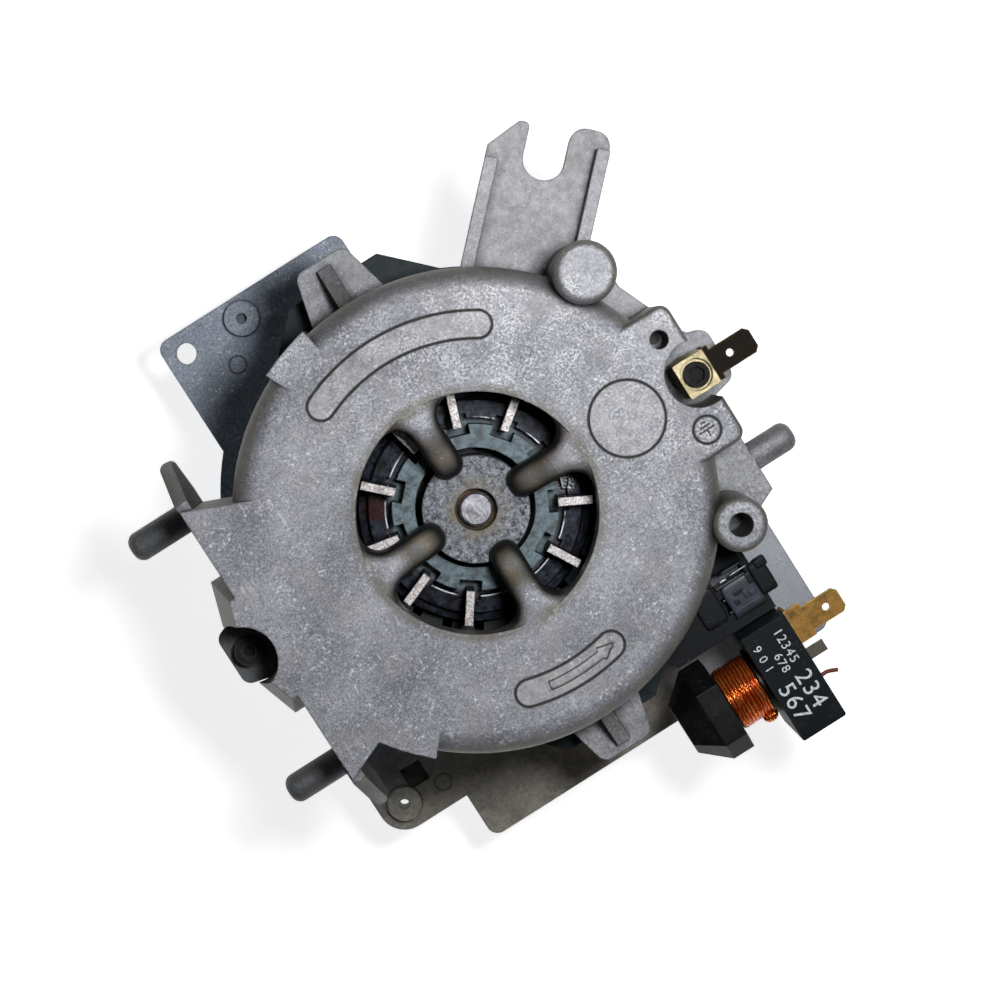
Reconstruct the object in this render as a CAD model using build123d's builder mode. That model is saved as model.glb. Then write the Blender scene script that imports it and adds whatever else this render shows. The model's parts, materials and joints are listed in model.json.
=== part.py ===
from build123d import *
import math
import os

# Wash pump motor of a dishwasher, seen in use with its shaft upright.
# The origin is on the shaft axis in the front mounting face. +Z runs to the rear end,
# +X to the earth terminal and +Y to an end ear. All sizes are in millimetres.

os.makedirs("parts", exist_ok=True)

# Clearances
seat_gap = 0.02
running_gap = 0.03
free_gap = 0.3

# Heights along the shaft
plate_thickness = 5.0
bell_height = 17.0
stack_length = 26.0
shield_height = 30.0
stack_bottom = plate_thickness + bell_height
stack_top = stack_bottom + stack_length
shield_top = stack_top + shield_height

# Stator stack: a square turned by 45 degrees with its four corners cut
stack_side = 104.0
stack_corner = 61.5
bore_radius = 27.85
slot_count = 24
slot_depth = 12.0
slot_width = 4.6
slot_round = 1.4
slot_mouth = 2.2
tooth_tip = 2.2
slot_middle = bore_radius + tooth_tip + slot_depth / 2
slot_clearance = 0.4

# Winding
overhang_inner = 30.8
overhang_outer = 45.0
overhang_height = 12.0
overhang_round = 3.5

# Bolts through the ears
bolt_circle = 61.6
bolt_radius = 1.95
bolt_hole_radius = 2.1
bolt_notch_radius = 2.6
bolt_head_radius = 3.25
bolt_head_height = 3.5
bolt_socket_radius = 1.7
blind_floor = 2.0
bolt_end_gap = 1.0

# Ears of both end shields
ear_reach = 66.7
ear_base_width = 19.0
ear_tip_width = 13.0
ear_corner = 2.6
ear_height = 9.5
ear_top = stack_top + ear_height
front_ear_height = 8.0
ear_root = 48.0

# Rear end shield
cap_radius = 54.6
cap_wall = 3.2
cap_roof = 3.4
shoulder_radius = 5.6
inner_shoulder_radius = 3.0
window_radius = 27.0
window_lip = 3.2
window_lip_depth = 7.5
window_round = 3.0
window_corner = 4.5
hub_radius = 12.3
hub_drop = 12.0
hub_height = 12.0
hub_top = shield_top - hub_drop
hub_bottom = hub_top - hub_height
hub_hole_radius = 4.8
hub_roof = 2.6
spoke_count = 4
spoke_width = 7.0
spoke_nose = 9.0
spoke_depth = 8.4
spoke_shoulder_radius = 15.5
spoke_shoulder_drop = 3.9
spoke_dip = 23.5

# Flat side with two mounting pins
flat_side = 55.4
flat_half = 35.4
flat_root_x = 38.5
flat_root_y = 28.3
tab_thickness = 3.2
tab_reach = 46.6
tab_drop = 4.0
tab_rise = 0.8
tab_bottom = 49.5
tab_foot = 3.0
tab_tip_round = 1.4
cheek_half = 18.0
cheek_side = 60.6
cheek_peak = 63.8
cheek_peak_half = 8.0
cheek_draft = 14.0
pocket_radius = 7.8

# Mounting pins
pin_radius = 3.5
pin_round = 2.4
pin_height = ear_top - pin_radius
left_pin_offset = 33.5
left_pin_length = 17.0
right_pin_offset = -25.0
right_pin_length = 11.0
pin_root_depth = 3.0

# Side with the earth terminal, the post and the boss
ledge_side = 60.4
block_side = 59.9
block_half = 17.6
block_corner = 2.6
block_edge = 1.4
block_root = 46.0
block_hole_radius = 2.1
block_hole_depth = 12.0
block_hole_x = 54.4
block_hole_y = 11.0
terminal_pocket_radius = 7.6
earth_x = 57.4
earth_post_radius = 3.9
earth_post_height = 8.5
post_x = 48.0
post_y = 32.4
post_radius = 7.0
post_top = 86.0
post_round = 2.0
boss_x = 48.0
boss_y = -33.4
boss_radius = 6.2
boss_top = 80.0
boss_round = 1.8
boss_hole_radius = 2.7
boss_hole_depth = 18.0
ledge_bottom = stack_top + 2.0

# Fork lug, drawn along the 45 degree direction
fork_root = 48.0
fork_left = 15.4
fork_right = 12.1
fork_left_shoulder = 81.5
fork_left_tip = 88.4
fork_right_tip = 90.0
fork_tip_inner = 9.4
fork_plate = 4.6
fork_rib_width = 3.0
fork_rib_height = 4.6
fork_rib_end = 78.5
fork_slot_radius = 4.8
fork_slot_depth = 81.0
fork_slot_offset = 2.1
fork_corner = 3.6
fork_left_corner = 1.2

# Raised pads where the shoulder of the cap is square
pad_reach = 55.6
pad_angles = [(101.4, 114.5), (214.2, 228.1)]

# Sunk outlines on the flat top
mark_circle = 41.8
mark_half_width = 3.3
mark_angles = [(57.6, 113.3), (-106.4, -77.1)]
badge_x = 39.2
badge_radius = 8.8
sign_x = 52.9
sign_y = -11.6
sign_radius = 3.3
groove_width = 0.4
groove_depth = 0.4

# Front end shield
plate_top_edge = 73.3
plate_bottom_edge = -78.4
plate_right_edge = 60.0
plate_left_edge = -47.0
plate_arc_radius = 63.0
plate_round = 3.0
tongue_right = 7.0
skirt_radius = 57.0
corner_boss_x = -56.7
corner_boss_y = -58.4
corner_boss_radius = 7.0
corner_boss_height = 2.0
corner_boss_top_radius = 4.7
corner_boss_hole = 1.3
corner_step = -42.3
upper_boss_x = -24.9
upper_boss_y = 67.6
plate_hole_radius = 2.7
plate_hole_x = -41.6
plate_hole_y = 67.7
socket_x = -50.6
socket_y = -53.6
socket_size = 5.6
socket_depth = 3.2
bell_radius = 54.0
bell_wall = 3.2
front_hub_radius = 18.6
front_hub_height = 11.0
lead_window_width = 17.0
lead_window_bottom = 10.0
lead_window_height = 9.0
spigot_radius = 26.0
spigot_depth = 1.2

# Bearings
rear_journal = 4.0
rear_bush_radius = 8.0
rear_bush_length = 7.2
rear_bush_crown = 1.1
felt_thickness = 1.4
clip_thickness = 0.6
clip_radius = 10.6
clip_hole = 5.4
clip_finger_count = 6
clip_slit_width = 1.6
clip_slit_length = 3.4
front_journal = 5.0
front_race_radius = 15.0
front_race_width = 9.0
front_race_inner = 7.4
front_race_groove = 12.6
front_race_recess = 0.5
front_bearing_floor = plate_thickness + 1.0

# Shaft and rotor
core_radius = 27.5
core_journal = 6.0
shaft_rear_end = hub_top - 0.8
drive_radius = 4.0
drive_length = 30.0
drive_flat_depth = 1.0
drive_flat_length = 14.0
shaft_chamfer = 0.6
bar_count = 22
bar_circle = 23.6
bar_radius = 1.6
ring_inner = 13.8
ring_outer = 19.2
ring_height = 12.0
ledge_inner = 20.6
ledge_outer = 24.6
ledge_height = 9.5
ring_base_outer = 27.0
ring_base_height = 5.5
fin_count = 11
fin_start = 70.5
fin_inner = 18.8
fin_outer = 26.7
fin_thickness = 1.9
fin_height = 17.0
notch_width = 5.2
notch_depth = 2.4
front_ring_height = 4.6
front_ring_inner = 17.0
washer_thickness = 0.8
washer_radius = 7.0
circlip_groove = 0.5

# Earth terminal
terminal_height = 12.0
terminal_round = 0.5
earth_head_radius = 2.9
earth_head_height = 2.4
earth_counterbore = 3.6
earth_counterbore_depth = 2.0
earth_socket_radius = 1.9
earth_socket_depth = 1.6
earth_thread_depth = 5.0
tab_sheet = 0.8
tab_width = 6.3
tab_shoulder_width = 8.6
earth_tab_shoulder = 1.6
earth_tab_reach = 11.4
earth_tab_drop = 2.6
tab_hole_radius = 0.85
tab_corner = 1.1

# Terminal carrier on the stator
carrier_bottom = 30.0
carrier_top = 49.4
carrier_right = 47.2
carrier_cell_depth = 6.0
clip_strip = 0.5
lead_radius = 1.1
lead_offsets = (-8.0, -4.0, 0.0)
lead_height = 15.0
lead_run = 15.0
lead_bend = 6.0

# Start relay
relay_left = 35.2
relay_right = 47.0
relay_near = -59.0
relay_far = -87.0
relay_top = 60.0
relay_bottom = 34.0
relay_wall = 1.2
relay_axis_y = -72.0
relay_axis_z = 47.5
bobbin_bore = 4.05
bobbin_tube = 5.2
bobbin_end = 13.2
bobbin_face = 25.2
bobbin_span_y = 22.6
bobbin_span_z = 20.0
bobbin_nose_y = 12.0
bobbin_nose_z = 12.0
bobbin_flange_radius = 8.6
bobbin_flange_thickness = 1.0
coil_radius = 8.0
plunger_length = 15.0
plunger_travel = 3.0
plunger_start = 15.6
plunger_rod = 1.2
bridge_thickness = 0.8
bridge_length = 16.0
bridge_width = 4.0
contact_radius = 1.6
contact_height = 1.0
small_tab_width = 2.8
small_tab_reach = 4.6
small_tab_y = -70.8
lead_end_radius = 0.5

# Rib on the end ears
rib_width = 3.4
rib_height = 9.0
rib_tip_height = 2.0
rib_reach = 64.6
rib_round = 1.6

# Further sizes of the shields
pocket_x = 57.9
pocket_wall = 2.2
ledge_root = 40.0
ledge_slope_start = 25.0
ledge_slope_end = 17.0
clip_recess = 0.9
bulge_half = 42.0
rib_count = 8
front_rib_width = 2.6
front_rib_height = 4.0
shaft_opening = 9.0

# Further sizes of the rotor
journal_start = 1.0
rear_shoulder_rise = 4.0
rear_shoulder = stack_top + rear_shoulder_rise
circlip_mouth = 3.0

# Thermal protector
protector_width = 8.0
protector_length = 18.0
protector_height = 5.5
protector_round = 1.5

# Terminals
terminal_width = 7.8
terminal_length = 8.6
earth_tab_hole = 5.2
earth_tab_leg = 7.0
carrier_left = 18.0
carrier_flat_end = 37.5
carrier_corner_drop = 5.0
carrier_cells = ((41.0, -46.0), (41.0, -52.5))
carrier_cell_length = 8.4
carrier_cell_width = 4.4
clip_rise = 0.8

# Relay details
relay_corner = 0.6
bobbin_shoulder = 19.6
bobbin_chamfer = 4.5
coil_gap = 0.2
bridge_start = 37.8
contact_places = ((-78.0, 47.5), (-66.0, 47.5))
contact_strip_length = 9.0
relay_tab_level = 59.0
relay_tab_y = -63.2
relay_tab_shoulder = 4.2
relay_tab_base = 8.6
relay_tab_reach = 13.4
relay_tab_hole = 9.2
relay_tab_leg = 8.0
lead_end_height = 50.0
lead_end_y = -78.2
lead_end_reach = 4.6
lead_end_drop = 1.0
lead_end_bend = 3.0


def export(part, name):
    """Label a finished piece and write its file."""
    part.label = name
    export_step(part, "parts/" + name + ".step")


ear_outline = (
    (ear_root, ear_base_width / 2),
    (cap_radius, ear_base_width / 2),
    (ear_reach, ear_tip_width / 2),
    (ear_reach, -ear_tip_width / 2),
    (cap_radius, -ear_base_width / 2),
    (ear_root, -ear_base_width / 2),
)

# Stator core
with BuildPart() as stator_core:
    with BuildSketch(Plane.XY.offset(stack_bottom)):
        Rectangle(stack_side, stack_side, rotation=45)
        Rectangle(2 * stack_corner, 2 * stack_corner, mode=Mode.INTERSECT)
        with PolarLocations(bolt_circle, 4):
            Circle(bolt_notch_radius, mode=Mode.SUBTRACT)
        Circle(bore_radius, mode=Mode.SUBTRACT)
        with PolarLocations(slot_middle, slot_count):
            RectangleRounded(slot_depth, slot_width, slot_round, mode=Mode.SUBTRACT)
        with PolarLocations(bore_radius + tooth_tip / 2, slot_count):
            Rectangle(tooth_tip * 2, slot_mouth, mode=Mode.SUBTRACT)
    extrude(amount=stack_length)
export(stator_core.part, "stator_core")

# Winding: two overhangs joined by the legs in the slots
leg_depth = slot_depth - 2 * slot_clearance
leg_width = slot_width - 2 * slot_clearance
overhang_width = overhang_outer - overhang_inner
overhang_middle = (overhang_outer + overhang_inner) / 2
overhang_top = stack_top + free_gap + overhang_height
overhang_bottom = stack_bottom - free_gap - overhang_height
with BuildPart() as stator_winding:
    with BuildSketch(Plane.XZ):
        for middle in (overhang_top - overhang_height / 2, overhang_bottom + overhang_height / 2):
            with Locations((overhang_middle, middle)):
                RectangleRounded(overhang_width, overhang_height, overhang_round)
    revolve(axis=Axis.Z)
    with BuildSketch(Plane.XY.offset(stack_bottom - free_gap)):
        with PolarLocations(slot_middle, slot_count):
            RectangleRounded(leg_depth, leg_width, slot_round - slot_clearance)
    extrude(amount=stack_length + 2 * free_gap)
export(stator_winding.part, "stator_winding")

# One spoke of the rear shield, dipping from the roof to the hub and flared at its root
spoke_root = window_radius + window_lip
flare_x = math.sqrt((window_radius - window_corner) ** 2 - (spoke_width / 2 + window_corner) ** 2)
flare_y = spoke_width / 2 + window_corner
flare_angle = math.atan2(flare_y, flare_x)
flare_middle = (flare_angle - math.pi / 2) / 2
with BuildPart() as spoke:
    with BuildSketch(Plane.XZ):
        with BuildLine():
            Line((spoke_root, shield_top), (spoke_dip, shield_top))
            Spline(
                (spoke_dip, shield_top),
                (spoke_shoulder_radius, shield_top - spoke_shoulder_drop),
                (spoke_nose, hub_top + 1.0),
                tangents=[(-1, 0), (-0.1, -1)],
            )
            Polyline(
                (spoke_nose, hub_top + 1.0),
                (spoke_nose, hub_top - hub_roof),
                (hub_radius + 0.4, hub_top - hub_roof),
                (spoke_shoulder_radius + 2.0, shield_top - spoke_shoulder_drop - spoke_depth + 1.0),
                (spoke_root, shield_top - spoke_depth),
                (spoke_root, shield_top),
            )
        make_face()
    extrude(amount=window_radius / 2, both=True)
    with BuildSketch(Plane.XY.offset(hub_top - hub_roof)):
        with BuildLine():
            for side in (1, -1):
                Line((0, side * spoke_width / 2), (flare_x, side * spoke_width / 2))
                ThreePointArc(
                    (flare_x, side * spoke_width / 2),
                    (
                        flare_x + window_corner * math.cos(flare_middle),
                        side * (flare_y + window_corner * math.sin(flare_middle)),
                    ),
                    (window_radius * math.cos(flare_angle), side * window_radius * math.sin(flare_angle)),
                )
                Line(
                    (window_radius * math.cos(flare_angle), side * window_radius * math.sin(flare_angle)),
                    (spoke_root * math.cos(flare_angle), side * spoke_root * math.sin(flare_angle)),
                )
            Line((0, spoke_width / 2), (0, -spoke_width / 2))
            Line(
                (spoke_root * math.cos(flare_angle), spoke_root * math.sin(flare_angle)),
                (spoke_root * math.cos(flare_angle), -spoke_root * math.sin(flare_angle)),
            )
        make_face()
    extrude(amount=hub_drop + hub_roof, mode=Mode.INTERSECT)
    fillet(spoke.edges().filter_by(GeomType.BSPLINE), window_round)

# Rounded rib on an end ear
with BuildPart() as ear_rib:
    with BuildSketch(Plane.XZ):
        Polygon(
            (ear_root, ear_top - 1.0),
            (ear_root, ear_top + rib_height),
            (cap_radius, ear_top + rib_height),
            (rib_reach, ear_top + rib_tip_height),
            (rib_reach, ear_top - 1.0),
            align=None,
        )
    extrude(amount=rib_width / 2, both=True)
    fillet(ear_rib.faces().sort_by(Axis.Z)[-1].edges().filter_by(Axis.X), rib_round)

# Block for the earth terminal, its outer corners and upper rim rounded
with BuildPart() as terminal_block:
    with BuildSketch(Plane.XY.offset(stack_top)) as block_section:
        Polygon(
            (block_root, block_half),
            (block_side, block_half),
            (block_side, -block_half),
            (block_root, -block_half),
            align=None,
        )
        fillet(block_section.vertices().group_by(Axis.X)[-1], block_corner)
    extrude(amount=shield_height)
    fillet(terminal_block.edges().group_by(Axis.Z)[-1].sort_by(Axis.X)[1:], block_edge)

# Tab that runs on from the flat side, its top sloping down to a rounded tip
with BuildPart() as flat_tab:
    with BuildSketch(Plane.YZ.offset(-flat_side - tab_rise)):
        Polygon(
            (left_pin_offset - pin_radius - 0.6, tab_bottom),
            (left_pin_offset - pin_radius - 0.6, ear_top + 1.0),
            (flat_half - tab_thickness, ear_top + 1.0),
            (flat_half - tab_thickness, shield_top - tab_drop),
            (flat_half + 1.5, shield_top - tab_drop),
            (tab_reach, ear_top + 1.5),
            (tab_reach, ear_top - tab_drop),
            (flat_half + tab_foot, tab_bottom),
            align=None,
        )
    extrude(amount=tab_thickness)
    fillet(flat_tab.faces().sort_by(Axis.Y)[-1].edges(), tab_tip_round)

# Rear end shield
with BuildPart() as rear_end_shield:
    # Round cap with a rounded shoulder and a rounded window rim
    with BuildSketch(Plane.XZ) as cap_section:
        Polygon(
            (window_radius, stack_top),
            (cap_radius, stack_top),
            (cap_radius, shield_top),
            (window_radius, shield_top),
            align=None,
        )
        top_corners = cap_section.vertices().group_by(Axis.Y)[-1].sort_by(Axis.X)
        fillet(top_corners[-1], shoulder_radius)
        fillet(top_corners[0], window_round)
    revolve(axis=Axis.Z)

    # Flat side with two sharp corners
    with BuildSketch(Plane.XY.offset(stack_top)):
        Polygon(
            (-flat_side, flat_half),
            (-flat_root_x, flat_root_y),
            (-flat_root_x, -flat_root_y),
            (-flat_side, -flat_half),
            align=None,
        )
    extrude(amount=shield_height)

    # Cheeks beside the bolt pocket, narrower towards the top
    with BuildSketch(Plane.XY.offset(ear_top)):
        Polygon(
            (-ear_root, cheek_half),
            (-cheek_side, cheek_half),
            (-cheek_peak, cheek_peak_half),
            (-cheek_peak, -cheek_peak_half),
            (-cheek_side, -cheek_half),
            (-ear_root, -cheek_half),
            align=None,
        )
    extrude(amount=shield_height - ear_height, taper=cheek_draft)

    # Block that carries the earth terminal
    add(terminal_block.part)

    # Pads where the shoulder of the cap is square
    for first, last in pad_angles:
        with BuildSketch(Plane.XY.offset(ear_top)):
            Circle(pad_reach)
            Circle(ear_root, mode=Mode.SUBTRACT)
            Polygon(
                (0, 0),
                (Vector(2 * pad_reach, 0).rotate(Axis.Z, first)),
                (Vector(2 * pad_reach, 0).rotate(Axis.Z, last)),
                align=None,
                mode=Mode.INTERSECT,
            )
        extrude(amount=shield_height - ear_height)

    # Ledge that joins the post, the terminal side and the boss
    with BuildSketch(Plane.XY.offset(ledge_bottom)):
        Polygon(
            (ledge_root, post_y + post_radius / 2),
            (post_x + post_radius - 0.5, post_y + post_radius / 2),
            (post_x + post_radius, ledge_slope_start),
            (ledge_side - 2.0, ledge_slope_end),
            (ledge_side, ledge_slope_end - 3.0),
            (ledge_side, boss_y),
            (boss_x, boss_y - boss_radius + 0.5),
            (ledge_root, boss_y - boss_radius / 2),
            align=None,
        )
    extrude(amount=ear_top - ledge_bottom)

    # Four ears on the corners of the stack
    with BuildSketch(Plane.XY.offset(stack_top)) as ear_section:
        with PolarLocations(0, 4):
            Polygon(*ear_outline, align=None)
        tips = ear_section.vertices().filter_by(lambda v: math.hypot(v.X, v.Y) > ear_reach - 1.0)
        fillet(tips, ear_corner)
    extrude(amount=ear_height)
    with PolarLocations(0, 2, start_angle=90):
        add(ear_rib.part)

    # Fork lug with a rib along each edge
    fork_plane = Plane((0, 0, ear_top - fork_plate), x_dir=(1, 1, 0), z_dir=(0, 0, 1))
    with BuildSketch(fork_plane) as fork_section:
        Polygon(
            (fork_root, fork_left),
            (fork_left_shoulder, fork_left),
            (fork_left_tip, fork_tip_inner),
            (fork_left_tip, fork_slot_offset),
            (fork_right_tip, fork_slot_offset),
            (fork_right_tip, -fork_right),
            (fork_root, -fork_right),
            align=None,
        )
        with Locations((fork_slot_depth, fork_slot_offset)):
            Circle(fork_slot_radius, mode=Mode.SUBTRACT)
            Rectangle(
                2 * fork_slot_depth,
                2 * fork_slot_radius,
                align=(Align.MIN, Align.CENTER),
                mode=Mode.SUBTRACT,
            )
        fillet(fork_section.vertices().filter_by(lambda v: abs(v.X - fork_left_tip) < 0.1), fork_left_corner)
        fillet(fork_section.vertices().filter_by(lambda v: abs(v.X - fork_right_tip) < 0.1), fork_corner)
    extrude(amount=fork_plate)
    with BuildSketch(fork_plane.offset(fork_plate)):
        with Locations((fork_root, fork_left)):
            Rectangle(
                fork_rib_end - fork_root,
                fork_rib_width,
                align=(Align.MIN, Align.MAX),
            )
        with Locations((fork_root, -fork_right)):
            Rectangle(
                fork_slot_depth + fork_slot_radius - fork_root,
                fork_rib_width,
                align=(Align.MIN, Align.MIN),
            )
    extrude(amount=fork_rib_height)

    # Hollow inside of the cap
    with BuildSketch(Plane.XZ) as cavity_section:
        Polygon(
            (0, stack_top),
            (cap_radius - cap_wall, stack_top),
            (cap_radius - cap_wall, shield_top - cap_roof),
            (spoke_root, shield_top - cap_roof),
            (spoke_root, shield_top - window_lip_depth),
            (0, shield_top - window_lip_depth),
            align=None,
        )
        roof_corners = cavity_section.vertices().group_by(Axis.Y)[-1].sort_by(Axis.X)
        fillet(roof_corners[-1], inner_shoulder_radius)
    revolve(axis=Axis.Z, mode=Mode.SUBTRACT)

    # Wall round the terminal pocket, inside the cap
    with BuildSketch(Plane.XY.offset(stack_top)):
        with Locations((pocket_x, 0)):
            Circle(terminal_pocket_radius + pocket_wall)
        Rectangle(2 * (block_side - block_edge), 2 * block_half, mode=Mode.INTERSECT)
    extrude(amount=shield_height - cap_roof / 2)

    # Hub carried by the spokes
    with BuildSketch(Plane.XY.offset(hub_bottom)):
        Circle(hub_radius)
    extrude(amount=hub_height)
    with PolarLocations(0, spoke_count):
        add(spoke.part)

    # Post and hollow boss
    with BuildSketch(Plane.XY.offset(ledge_bottom)):
        with Locations((post_x, post_y)):
            Circle(post_radius)
    extrude(amount=post_top - ledge_bottom)
    with BuildSketch(Plane.XY.offset(ledge_bottom)):
        with Locations((boss_x, boss_y)):
            Circle(boss_radius)
    extrude(amount=boss_top - ledge_bottom)
    fillet(rear_end_shield.edges().filter_by_position(Axis.Z, post_top - 0.1, post_top + 0.1), post_round)
    fillet(rear_end_shield.edges().filter_by_position(Axis.Z, boss_top - 0.1, boss_top + 0.1), boss_round)

    # Mounting pins: two on the flat side, one on the ledge
    for offset in (left_pin_offset, -left_pin_offset):
        with BuildSketch(Plane((-flat_side, offset, pin_height), x_dir=(0, 1, 0), z_dir=(-1, 0, 0))):
            Circle(pin_radius)
        extrude(amount=left_pin_length)
    right_root = Plane((ledge_side - pin_root_depth, right_pin_offset, pin_height), x_dir=(0, 1, 0), z_dir=(1, 0, 0))
    with BuildSketch(right_root):
        Circle(pin_radius)
    extrude(amount=right_pin_length + pin_root_depth)
    for at_pin_end in (
        lambda e: e.center().X > ledge_side + right_pin_length - 0.1,
        lambda e: e.center().X < 0.1 - flat_side - left_pin_length,
    ):
        circles = rear_end_shield.edges().filter_by(GeomType.CIRCLE).filter_by(at_pin_end)
        fillet(circles.filter_by(lambda e: abs(e.radius - pin_radius) < 0.01), pin_round)

    # Tabs that run on from the flat side
    add(flat_tab.part)
    mirror(flat_tab.part, about=Plane.XZ)

    # Pockets over the left bolt and round the earth terminal
    with BuildSketch(Plane.XY.offset(ear_top)):
        with Locations((-bolt_circle, 0)):
            Circle(pocket_radius)
        with Locations((pocket_x, 0)):
            Circle(terminal_pocket_radius)
    extrude(amount=shield_height, mode=Mode.SUBTRACT)
    with BuildSketch(Plane.XY.offset(ear_top)):
        with Locations((earth_x, 0)):
            Circle(earth_post_radius)
    extrude(amount=earth_post_height)

    # Sunk outlines on the flat top: two bent slots, a round badge and a small round sign
    with BuildSketch(Plane.XY.offset(shield_top)):
        for first, last in mark_angles:
            mark_line = CenterArc((0, 0), mark_circle, first, last - first, mode=Mode.PRIVATE)
            SlotArc(mark_line, 2 * mark_half_width)
            SlotArc(mark_line, 2 * (mark_half_width - groove_width), mode=Mode.SUBTRACT)
        with Locations((badge_x, 0)):
            Circle(badge_radius)
            Circle(badge_radius - groove_width, mode=Mode.SUBTRACT)
        with Locations((sign_x, sign_y)):
            Circle(sign_radius)
            Circle(sign_radius - groove_width, mode=Mode.SUBTRACT)
    extrude(amount=-groove_depth, mode=Mode.SUBTRACT)

    # Seat of the rear bearing and the hole for the shaft
    with Locations((0, 0, hub_top)):
        Hole(hub_hole_radius, depth=hub_height)
    with BuildSketch(Plane.XY.offset(hub_bottom)):
        Circle(rear_bush_radius + seat_gap)
    extrude(amount=hub_height - hub_roof, mode=Mode.SUBTRACT)
    with BuildSketch(Plane.XY.offset(hub_bottom)):
        Circle(clip_radius + seat_gap)
    extrude(amount=clip_recess, mode=Mode.SUBTRACT)

    # Screw holes
    with Locations((-bolt_circle, 0, ear_top)):
        Hole(bolt_hole_radius, depth=ear_height)
    with BuildSketch(Plane.XY.offset(stack_top)):
        with Locations((bolt_circle, 0), (0, bolt_circle), (0, -bolt_circle)):
            Circle(bolt_hole_radius)
    extrude(amount=ear_height - blind_floor, mode=Mode.SUBTRACT)
    with Locations((earth_x, 0, ear_top + earth_post_height)):
        Hole(bolt_hole_radius, depth=earth_thread_depth + free_gap)
    with Locations((block_hole_x, block_hole_y, shield_top)):
        Hole(block_hole_radius, depth=block_hole_depth)
    with Locations((boss_x, boss_y, boss_top)):
        Hole(boss_hole_radius, depth=boss_hole_depth)
export(rear_end_shield.part, "rear_end_shield")

# Front end shield
with BuildPart() as front_end_shield:
    # Mounting plate
    with BuildSketch() as plate_section:
        Circle(skirt_radius)
        Polygon(
            (plate_left_edge, plate_top_edge),
            (tongue_right, plate_top_edge),
            (tongue_right, 0),
            (plate_left_edge, 0),
            align=None,
        )
        Polygon(
            (corner_step, 0),
            (plate_right_edge, 0),
            (plate_right_edge, plate_bottom_edge),
            (corner_step, plate_bottom_edge),
            align=None,
        )
        Polygon(
            (corner_boss_x - corner_boss_radius, 0),
            (0, 0),
            (corner_step, corner_boss_y - corner_boss_radius),
            (corner_boss_x, corner_boss_y - corner_boss_radius),
            (corner_boss_x - corner_boss_radius, corner_boss_y),
            align=None,
        )
        with Locations((corner_boss_x, corner_boss_y)):
            Circle(corner_boss_radius)
        with BuildSketch(mode=Mode.PRIVATE) as left_bulge:
            Circle(plate_arc_radius)
            with Locations((-plate_arc_radius, 0)):
                Rectangle(plate_arc_radius, 2 * bulge_half, mode=Mode.INTERSECT)
        add(left_bulge.sketch)
        for corner in (
            (plate_left_edge, plate_top_edge),
            (tongue_right, plate_top_edge),
            (plate_right_edge, plate_bottom_edge),
            (corner_step, plate_bottom_edge),
            (plate_right_edge, 0),
        ):
            fillet(plate_section.vertices().sort_by_distance((corner[0], corner[1], 0))[0], plate_round)
    extrude(amount=plate_thickness)

    # Bell, its ears, hub and radial ribs
    with BuildSketch(Plane.XY.offset(plate_thickness)):
        Circle(bell_radius)
        Circle(bell_radius - bell_wall, mode=Mode.SUBTRACT)
    extrude(amount=bell_height)
    with BuildSketch(Plane.XY.offset(stack_bottom - front_ear_height)) as front_ears:
        with PolarLocations(0, 4):
            Polygon(*ear_outline, align=None)
        tips = front_ears.vertices().filter_by(lambda v: math.hypot(v.X, v.Y) > ear_reach - 1.0)
        fillet(tips, ear_corner)
        Circle(bell_radius - bell_wall, mode=Mode.SUBTRACT)
    extrude(amount=front_ear_height)
    with BuildSketch(Plane.XY.offset(plate_thickness)):
        with PolarLocations((bell_radius + front_hub_radius) / 2 - 1.0, rib_count, start_angle=22.5):
            Rectangle(bell_radius - front_hub_radius - 1.0, front_rib_width)
    extrude(amount=front_rib_height)
    with BuildSketch(Plane.XY.offset(plate_thickness)):
        Circle(front_hub_radius)
    extrude(amount=front_hub_height)

    # Raised bosses on the plate
    for x, y in ((corner_boss_x, corner_boss_y), (upper_boss_x, upper_boss_y)):
        with BuildSketch(Plane.XY.offset(plate_thickness)):
            with Locations((x, y)):
                Circle(corner_boss_top_radius)
        extrude(amount=corner_boss_height, taper=8)
    with Locations((corner_boss_x, corner_boss_y, plate_thickness + corner_boss_height)):
        Hole(corner_boss_hole, depth=corner_boss_height + plate_thickness)
    with Locations((upper_boss_x, upper_boss_y, plate_thickness + corner_boss_height)):
        Hole(corner_boss_hole, depth=corner_boss_height)

    # Bearing pocket, shaft hole and the register for the pump
    with BuildSketch(Plane.XY.offset(front_bearing_floor)):
        Circle(front_race_radius + seat_gap)
    extrude(amount=front_hub_height, mode=Mode.SUBTRACT)
    with BuildSketch():
        Circle(shaft_opening)
    extrude(amount=front_bearing_floor, mode=Mode.SUBTRACT)
    with BuildSketch():
        Circle(spigot_radius)
    extrude(amount=spigot_depth, mode=Mode.SUBTRACT)

    # Window for the winding leads, towards the terminal carrier
    lead_plane = Plane((0, 0, lead_window_bottom), x_dir=(1, -1, 0), z_dir=(0, 0, 1))
    with BuildSketch(lead_plane):
        with Locations((bell_radius - bell_wall / 2, lead_offsets[1])):
            Rectangle(3 * bell_wall, lead_window_width)
    extrude(amount=lead_window_height, mode=Mode.SUBTRACT)

    # Holes in the plate and in the ears
    with Locations((plate_hole_x, plate_hole_y, plate_thickness)):
        Hole(plate_hole_radius, depth=plate_thickness)
    with BuildSketch(Plane.XY.offset(plate_thickness)):
        with Locations((socket_x, socket_y)):
            Rectangle(socket_size, socket_size)
    extrude(amount=-socket_depth, mode=Mode.SUBTRACT)
    with BuildSketch(Plane.XY.offset(stack_bottom)):
        with PolarLocations(bolt_circle, 4):
            Circle(bolt_hole_radius)
    extrude(amount=-front_ear_height, mode=Mode.SUBTRACT)
export(front_end_shield.part, "front_end_shield")

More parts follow.
